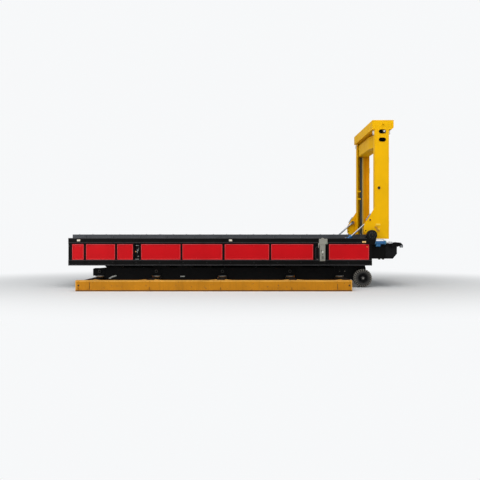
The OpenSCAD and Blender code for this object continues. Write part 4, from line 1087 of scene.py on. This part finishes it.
stiff = [bar((x - 0.005, FACE + 0.011, 0.017), (x + 0.005, FACE + 0.115, BASE_TOP - 0.017))
         for x in np.linspace(BASE_X0 + 0.12, BASE_X1 - 0.12, 13)]
for x, s in ((x + s * 0.1, s) for x, s in FLANGE_ENDS):
    if BASE_X0 < x + s * 0.22 < BASE_X1:
        outline = [(x, FACE + 0.12), (x + s * 0.22, FACE + 0.12), (x, FACE + 0.36)]
        stiff.append(plate(outline, BASE_TOP - 0.012, BASE_TOP - 0.002, "z"))
pair("beam_stiffeners", stiff, "ochre_paint")
z = np.linspace(0.02, BASE_TOP - 0.02, 60)
ripple = 0.005 * (1 + 0.2 * np.sin(np.arange(60) * 1.7))
pair("beam_seams", [tube(np.stack([np.full(60, x + s * 0.102), np.full(60, FACE + 0.121), z], axis=1), ripple, 6)
                    for x, s in FLANGE_ENDS], "ochre_paint", smooth=60)
anchor = turned([(12, -4), (12, 6), (30, 6), (32, 0)], "z", around=20)
anchors = spots((BASE_X0 + 0.15, BASE_X1 - 0.15), FACE + 0.07, 0.016)
pair("anchor_washers", copies(anchor, anchors), "foot_steel", smooth=50)

# %% [markdown]
# ## Lamps
# Each marker lamp is a lens with a crowned face in a dark frame. The ones by the gate are amber and in two parts,
# and a small reflector sits on the last panel.

# %% Marker lamps
def crowned_lens(x_low, x_high, z_low, z_high, y=-SIDE, out=0.008):
    """Rectangular lens: stands out by `out` times (1 - u^6)(1 - v^6) for u, v from -1 to 1 over its face."""
    u, v = np.meshgrid(np.linspace(-1, 1, 13), np.linspace(-1, 1, 9), indexing="ij")
    x = (x_low + x_high) / 2 + u * (x_high - x_low) / 2
    z = (z_low + z_high) / 2 + v * (z_high - z_low) / 2
    return grid(np.stack([x, y - out * (1 - u ** 6) * (1 - v ** 6), z], axis=-1))


def raised_frame(x_low, x_high, z_low, z_high, wide=0.005, out=0.006, y=-SIDE):
    """Raised frame round a rectangle: four rings of corners from the inside edge to the outside one."""
    return round_rectangle(x_low, x_high, z_low, z_high, ((0, 0), (0.001, out), (wide - 0.001, out), (wide, 0)), y)


WHITE_LAMPS = [(x + 0.01, x + 0.1, DECK - 0.088, DECK - 0.037) for x in (X0 + 0.217, X0 + 4.22)]
AMBER_X, AMBER_Z = X1 - 0.265, (DECK - 0.131, DECK - 0.08)
lenses = [crowned_lens(*lamp) for lamp in WHITE_LAMPS]
pair("lamp_lenses", lenses, "lamp_lens", instead_of=("marker_lamps",), smooth=60)
ambers = [crowned_lens(AMBER_X + a, AMBER_X + b, *AMBER_Z) for a, b in ((0.004, 0.052), (0.058, 0.106))]
pair("amber_lenses", ambers, "amber_lens", smooth=60)
frames = [raised_frame(*lamp) for lamp in (*WHITE_LAMPS, (AMBER_X + 0.003, AMBER_X + 0.107, *AMBER_Z))]
pair("lamp_frames", frames, "dark_plastic", smooth=25)
reflector = crowned_lens(X0 + 7.857, X0 + 7.887, PANEL_TOP - 0.085, PANEL_TOP - 0.06, -SIDE + 0.006, 0.006)
pair("panel_reflectors", reflector, "orange_lens", smooth=60)
print("lamps:", 2 * len(frames))

# %% [markdown]
# ## Control box
# The box has a door in a raised frame with hinges, a latch, a round key, a lock and a grille of slits, a shelf with
# a button above, a hook at its side and cable glands below. A pale fold edges its head.

# %% Control box
BOX_X, BOX_FACE = X0 + 6.625, -SIDE - 0.022
BOX_LOW = PANEL_LOW - 0.03
HEAD_UNDER, HEAD_PEAK = DECK - 0.029, DECK + 0.001


def box_bar(x, y, z, round_off=0.003):
    """Bar between pairs of values: x from the box's left side, y from its face, z from the floor."""
    return bar(*((BOX_X + x[k], BOX_FACE + y[k], z[k]) for k in (0, 1)), round_off)


edges = [raised_frame(BOX_X + 0.016, BOX_X + 0.124, BOX_LOW + 0.024, PANEL_TOP - 0.02, 0.009, 0.008, BOX_FACE)]
for a, z_a, b, z_b in ((-0.022, HEAD_UNDER, 0.026, HEAD_UNDER), (0.024, DECK - 0.028, 0.067, HEAD_PEAK),
                       (0.067, HEAD_PEAK, 0.116, HEAD_UNDER), (0.114, HEAD_UNDER, 0.194, HEAD_UNDER),
                       (0.146, PANEL_TOP + 0.006, 0.194, PANEL_TOP + 0.006)):
    edges.append(strip_between((BOX_X + a, z_a), (BOX_X + b, z_b), 0.01, BOX_FACE - 0.006, BOX_FACE + 0.001))
piece("box_edges", edges, "pale_edge")
door = box_bar((0.02, 0.12), (-0.006, 0.001), (BOX_LOW + 0.03, PANEL_TOP - 0.026))
shelf = box_bar((-0.012, 0.158), (-0.012, 0), (PANEL_TOP - 0.004, PANEL_TOP + 0.004))
hinges = [tube([(BOX_X + 0.118, BOX_FACE - 0.009, z + up) for up in (0, 0.04)], 0.006)
          for z in (BOX_LOW + 0.07, PANEL_TOP - 0.12)]
piece("box_door", [door, shelf, *hinges], "grey_metal")
key = turned([(0, -20), (12, -19), (16, -14), (16, -4), (24, -3), (26, 4)],
             at=(BOX_X + 0.07, BOX_FACE - 0.012, PANEL_LOW + 0.206), around=28)
piece("box_key", key, "key_white", smooth=50)
slits = [box_bar((0.045, 0.1), (-0.0085, -0.005), (z, z + 0.005), 0.001)
         for z in np.arange(BOX_LOW + 0.06, BOX_LOW + 0.13, 0.012)]
lock = turned([(0, -12), (8, -11), (11, -6), (11, 2)],
              at=(BOX_X + 0.065, BOX_FACE - 0.006, PANEL_LOW + 0.151), around=20)
latch = box_bar((0.03, 0.042), (-0.016, -0.004), (PANEL_TOP - 0.2, PANEL_TOP - 0.15))
cable_gland = turned([(16, -30), (18, -26), (18, -4), (22, 0), (22, 6)], "z", around=12)
glands = copies(cable_gland, [(BOX_X + 0.03 + k * 0.04, -SIDE + 0.03, PANEL_LOW) for k in range(3)])
piece("box_dark_parts", [*slits, lock, latch, glands], "dark_plastic", smooth=40)
button = turned([(0, -12), (6, -11), (9, -8), (10, -1), (12, 0), (13, 3)],
                at=(BOX_X + 0.165, BOX_FACE, PANEL_TOP + 0.029))
piece("green_button", button, "button_green", smooth=50)
side_hook = tube([(BOX_X - a, BOX_FACE - out, PANEL_TOP + up) for a, out, up in (
    (0.034, 0.006, 0.01), (0.036, 0.02, -0.02), (0.034, 0.02, -0.07), (0.03, 0.004, -0.09))], 0.005, 10)
piece("box_side_hook", side_hook, "pale_edge", smooth=60)

# %% [markdown]
# ## Hoses beside the control box
# The two loops of the CAD are closed rings, as the hoses look from the side. Each is drawn as a pair of slim hoses
# that lie side by side along that ring: up one run, round the top, down the other and round the bottom.

# %% Hoses
LOOP_R, LOOP_LOW, LOOP_HIGH = 0.042, PANEL_LOW + 0.0533, PANEL_TOP - 0.113
HOSE_R = 0.0052
HOSES = [(X0 + 6.5625 + k * 0.006, -SIDE + 0.028 + k * 0.026 + s * 0.0053) for k in range(2) for s in (-1, 1)]


def loop_route(x, y):
    """Points along a ring of two straight runs and two half circles, from the bottom's middle nearly back to it."""
    t = np.linspace(0.06, np.pi / 2, 6)
    right = np.stack([LOOP_R * np.sin(t), LOOP_LOW - LOOP_R * np.cos(t)], axis=1)
    up = np.stack([np.full(5, LOOP_R), np.linspace(LOOP_LOW, LOOP_HIGH, 7)[1:-1]], axis=1)
    a = np.linspace(0, np.pi, 11)
    over = np.stack([LOOP_R * np.cos(a), LOOP_HIGH + LOOP_R * np.sin(a)], axis=1)
    flat = np.concatenate([right, up, over, up[::-1] * [-1, 1], right[::-1] * [-1, 1]])
    return np.stack([x + flat[:, 0], np.full(len(flat), y), flat[:, 1]], axis=1)


for number, (x, y) in enumerate(HOSES):
    route = loop_route(x, y)
    hose = piece(f"control_hose_{number}", tube(route, HOSE_R), "hose_rubber", smooth=60,
                 instead_of=("control_hoses",) if number == 0 else ())
union = turned([(6, -20), (12, -18), (12, 18), (6, 20)], "x", around=6)
piece("hose_unions", copies(union, [(x, y, LOOP_LOW - LOOP_R) for x, y in HOSES]), "dull_steel", slot="roller_steel")

# %% [markdown]
# ## Valve bank
# In the gap between two panels: a manifold with fittings, a forked pipe, a knob and a lower bar.

# %% Valve bank
VALVE_AT = (X0 + 1.745, -SIDE + 0.04, PANEL_LOW)
VALVE_TOP = PANEL_TOP - PANEL_LOW

fittings = [tube([(0.07, -0.012, 0.18), (0.08, -0.014, 0.23), (0.068, -0.014, 0.27), (0.06, -0.01, 0.31)], 0.007, 10),
            tube([(0.08, -0.014, 0.23), (0.1, -0.014, 0.26), (0.108, -0.01, 0.315)], 0.007, 10),
            bar((0.012, -0.024, 0.205), (0.06, 0.002, 0.23), 0.004),
            bar((0.01, -0.012, 0.01), (0.115, 0.002, 0.026), 0.003),
            bar((0.03, -0.016, VALVE_TOP - 0.045), (0.112, 0.002, VALVE_TOP - 0.03), 0.003),
            turned([(0, -30), (12, -28), (16, -20), (16, 4)], at=(0.095, -0.004, 0.09), around=12)]
piece("valve_fittings", copies(joined(*fittings), [VALVE_AT]), "dull_fitting", smooth=45)
knob = turned([(0, -22), (9, -21), (12, -16), (12, -4), (6, 0)], at=(0.03, -0.024, 0.217),
              around=20)
piece("valve_knob", copies(knob, [VALVE_AT]), "orange_lens", smooth=50)

# %% [markdown]
# ## Boards inside the bed
# Two gaps between the panels hold equipment, and a dark board behind each is painted shade that closes the view into
# the bed. Thin dark plates behind the panels' backs are painted shade too.

# %% Painted shade boards in the gaps and behind the panels
# Dark boards in the gaps and behind the trays: painted shade inside the bed.
boards = [bar((X0 + a, -SIDE + 0.102, PANEL_LOW + 0.002), (X0 + b, -SIDE + 0.108, PANEL_TOP - 0.002))
          for a, b in ((1.69, 1.925), (6.49, 6.875))]
boards += [bar((a + 0.002, -SIDE + 0.034, low + 0.002), (b - 0.002, -SIDE + 0.039, high - 0.002))
           for a, b, low, high in TRAYS]
pair("gap_shade_boards", boards, "dark_plastic")

# %% [markdown]
# ## Belt
# The belt's two ends are joined by a row of metal hooks and thin ribs run along it. The guides that keep it in line
# are bolted down and stand on brackets.

# %% Belt lacing, ribs, guide bolts and brackets
LACE_X = X0 + 2.36

hook = tube([(-0.03, 0, 0.0005), (-0.015, 0, 0.003), (0.015, 0, 0.003), (0.03, 0, 0.0005)], 0.0028, 6)
hooks = spots(LACE_X, np.arange(-BELT_HALF + 0.02, BELT_HALF - 0.01, 0.018), BELT_Z)
piece("belt_lacing", copies(hook, hooks), "zinc_plate", smooth=60)


def belt_stripe(y_low, y_high, height=0.0016):
    """Flat raised stripe along the belt, with a half-sine section."""
    v = np.linspace(0, np.pi, 6)
    rows = y_low + (y_high - y_low) * (1 - np.cos(v)) / 2
    return swept(X0 + 0.17, X1 - 0.17, 60, rows, BELT_Z - 0.0004 + height * np.sin(v))


stripes = [belt_stripe(y - 0.006, y + 0.006) for y in np.linspace(-BELT_HALF + 0.03, BELT_HALF - 0.03, 13)]
piece("belt_ribs", stripes, "belt_rib", smooth=60)
guide_bolts = spots(np.arange(X0 + 0.2, X1 - 0.1, 0.36), -0.952, BELT_Z)
pair("guide_bolts", hexagon_bolts(guide_bolts, 22, "z", 1), "zinc_plate", slot="deck_steel")
outline = [(-0.972, DECK), (-1.03, DECK), (-0.972, BELT_Z - 0.02)]
bracket = plate(outline, -0.005, 0.005, "x")
pair("guide_brackets", copies(bracket, spots(np.arange(X0 + 0.38, X1 - 1.5, 0.72), 0, 0)), "deck_steel")

# %% Walkway studs and joints
stud = turned([(0, 3.2), (6, 2.8), (9.5, 0)], "z", around=8)
rows_y = (-1.115, -1.075, -1.035, -0.995)
studs_at = [(x + (k % 2) * 0.03, y, DECK) for x in np.arange(X0 + 0.12, X1 - 1.36, 0.06) for k, y in enumerate(rows_y)]
pair("walkway_studs", copies(stud, studs_at), "deck_steel", smooth=60)
joints = [bar((x - 0.002, -1.148, DECK - 0.001), (x + 0.002, -0.972, DECK + 0.0012), 0.0005)
          for x in np.arange(X0 + 1.0, X1 - 1.4, 1.0)]
pair("walkway_joints", joints, "dark_plastic")
print("studs:", 2 * len(studs_at))

# %% [markdown]
# ## Bed ends
# Raised frames round the windows, bolts and a rubber scraper at the left end, bearing caps and adjusters on the drums.

# %% Ends of the bed
WINDOW_HALF, WINDOW_STEP, WINDOW_LOW, WINDOW_TOP = 0.1495, 0.4186, BED_LOW + 0.13, BED_LOW + 0.39

window = rings([[(X0 - h, a * (WINDOW_HALF + g), z + b * g) for a, b, z in (
    (-1, -1, WINDOW_LOW), (1, -1, WINDOW_LOW), (1, 1, WINDOW_TOP), (-1, 1, WINDOW_TOP))]
                for g, h in ((-0.001, -0.004), (0.001, 0.006), (0.014, 0.006), (0.016, -0.002))])
piece("window_frames", copies(window, spots(0, np.arange(-2, 3) * WINDOW_STEP, 0)), "end_paint")
end_bolts = spots(X0, np.arange(-1.08, 1.1, 0.216), (BED_LOW + 0.05, PANEL_TOP - 0.06))
piece("end_bolts", hexagon_bolts(end_bolts, 22, "x", -1), "black_paint")
scraper = bar((X0, -0.9, PANEL_TOP), (X0 + 0.02, 0.9, PANEL_TOP + 0.035), 0.004)
piece("belt_scraper", scraper, "scraper_rubber")
bearing = turned([(0, -30), (24, -29), (30, -22), (32, -10), (50, -8), (54, 0)], around=32)
pair("bearing_caps", copies(bearing, spots((X0 + 0.162, X1 - 0.162), -DRUM_Y, DRUM_Z)), "roller_steel", smooth=50)

# %% [markdown]
# ## Nose
# A second cheek plate makes the upright step, with bolts, stiffening ribs inside, rubber buffers on the docking
# face and two small feet below.

# %% Nose details
NOSE_Y, NOSE_TOP, NOSE_LOW, NOSE_END = -1.13, 1.178, 0.76, 4.2775
CHEEK_X = 3.972

outline = [(CHEEK_X, NOSE_LOW + 0.004), (NOSE_END - 0.114, NOSE_LOW + 0.004), (NOSE_END - 0.006, NOSE_LOW + 0.132),
           (NOSE_END - 0.006, NOSE_TOP - 0.006), (CHEEK_X, NOSE_TOP - 0.006)]
cheek = side_plate(outline, NOSE_Y - 0.014, NOSE_Y, 0.004)
pair("nose_cheeks", cheek, "cheek_paint")
nose_bolts = [*spots((4.0, 4.13), NOSE_Y - 0.014, (NOSE_LOW + 0.05, NOSE_LOW + 0.2, NOSE_TOP - 0.05)),
              *spots((3.63, 3.78, 3.93), NOSE_Y, (NOSE_LOW + 0.04, NOSE_TOP - 0.09))]
pair("nose_bolts", hexagon_bolts(nose_bolts, 22))
foot = bar((0, NOSE_Y + 0.002, NOSE_LOW - 0.024), (0.05, NOSE_Y + 0.06, NOSE_LOW + 0.001), 0.004)
pair("nose_feet", copies(foot, spots((3.79, 3.89), 0, 0)), "rim_lip", slot="foot_steel")
buffer = turned([(0, 36), (30, 35), (44, 28), (50, 16), (50, 4), (60, 3), (62, -1)],
                "x", around=32)
piece("nose_buffers", copies(buffer, spots(NOSE_END, (-0.85, 0.85), 1.03)), "buffer_rubber",
      smooth=50)
rib = bar((NOSE_END - 0.06, 0, NOSE_LOW + 0.14), (NOSE_END - 0.019, 0.008, NOSE_TOP - 0.061))
piece("nose_ribs", copies(rib, spots(0, (-0.8, -0.4, 0, 0.4, 0.8), 0)), "black_paint")
piece("nose_front_bolts", hexagon_bolts(spots(NOSE_END, np.arange(-1.0, 1.05, 0.25), 1.12), 22, "x", 1), "black_paint")

# %% [markdown]
# ## Beams across the gate
# The header beam carries rubber stops and bolts on the face that meets the container and ribs below; the cap beam
# has bolts on the same face and two pads on top.

# %% Gate beams
HEAD_X0, HEAD_X1, HEAD_LOW, HEAD_TOP = COLUMN_X + 0.043, COLUMN_X + 0.353, CAP_Z - 0.394, CAP_Z - 0.06
STOPS_Y = (-0.75, 0, 0.75)


def gate_piece(name, shape, coat="gate_yellow", **more):
    """A piece of the gate that isn't mirrored."""
    return piece(name, shape, coat, body="gate", **more)


rib = bar((HEAD_X0 + 0.13, -0.006, HEAD_LOW - 0.012), (HEAD_X1 - 0.01, 0.006, HEAD_LOW + 0.001))
gate_piece("header_ribs", copies(rib, spots(0, np.linspace(-0.84, 0.84, 7), 0)))
stop = bar((HEAD_X1 - 0.001, -0.09, HEAD_LOW + 0.1), (HEAD_X1 + 0.018, 0.09, HEAD_LOW + 0.22), 0.008)
gate_piece("header_stops", copies(stop, spots(0, STOPS_Y, 0)), "stop_rubber")
stop_bolts = spots(HEAD_X1 + 0.017, np.add.outer(STOPS_Y, (-0.055, 0.055)), HEAD_LOW + 0.16)
gate_piece("stop_bolts", hexagon_bolts(stop_bolts, 20, "x", 1), "zinc_plate")
face_bolts = spots(HEAD_X1, (-0.93, -0.5, -0.25, 0.25, 0.5, 0.93), (HEAD_LOW + 0.05, HEAD_TOP - 0.05))
gate_piece("header_bolts", hexagon_bolts(face_bolts, 24, "x", 1))
gate_piece("cap_beam_bolts", hexagon_bolts(spots(CAP_X1, np.arange(-1.05, 1.1, 0.3), CAP_Z + 0.14), 24, "x", 1))
pad = bar((COLUMN_X + 0.17, -0.03, GATE_TOP - 0.001), (COLUMN_X + 0.27, 0.03, GATE_TOP + 0.003), 0.001)
gate_piece("cap_pads", copies(pad, spots(0, (-0.7, 0.7), 0)))

# %% Column faces towards the container
BACK_X = COLUMN_X + 0.38

gate_pair("column_back_bolts", hexagon_bolts(spots(BACK_X, -1.06, np.arange(1.5, 3.9, 0.4)), 22, "x", 1))
back_pads = [bar((BACK_X - 0.001, -1.11, z), (BACK_X + 0.012, -1.01, z + 0.16), 0.004) for z in (1.62, 3.3)]
gate_pair("column_back_pads", back_pads, "pad_nylon")

# %% [markdown]
# ## Below the machine
# Clamps and collars hold the axle to the rails, and threaded adjusters set the drums.

# %% Axle clamps and drum adjusters
def u_bolt(x, y, z_low, z_high, half, radius=0.008):
    """Bolt bent round the axle: two legs up from a half circle of radius `half` that passes below it."""
    t = np.linspace(0, np.pi, 9)
    low = np.stack([x - half * np.cos(t), np.full(9, y), z_low - 0.02 * np.sin(t)], axis=1)
    return tube([(x - half, y, z_high), *low, (x + half, y, z_high)], radius, 8)


hoops = [u_bolt(AXLE[0], y, AXLE[1] - 0.05, RAIL_LOW + 0.01, 0.066) for y in (-0.9, -0.84)]
pair("axle_clamps", hoops, "zinc_plate", smooth=60)
collar_ring = turned([(30, -20), (50, -18), (52, 18), (30, 20)], at=(AXLE[0], -1.014, AXLE[1]), around=32)
pair("axle_collars", collar_ring, "dull_steel", slot="roller_steel", smooth=50)
nut = turned([(10, -7), (17, -7), (17, 7), (10, 7)], "x", around=6)
rod = turned([(0, -75), (9, -74), (10, -72), (10, 0)], "x", around=14)
adjuster = joined(rod, copies(nut, [(-0.015, 0, 0), (-0.033, 0, 0)]))
pair("drum_adjusters", copies(adjuster, [(X0 + 0.079, -DRUM_Y, DRUM_Z)]), "zinc_plate")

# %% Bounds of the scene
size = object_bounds()
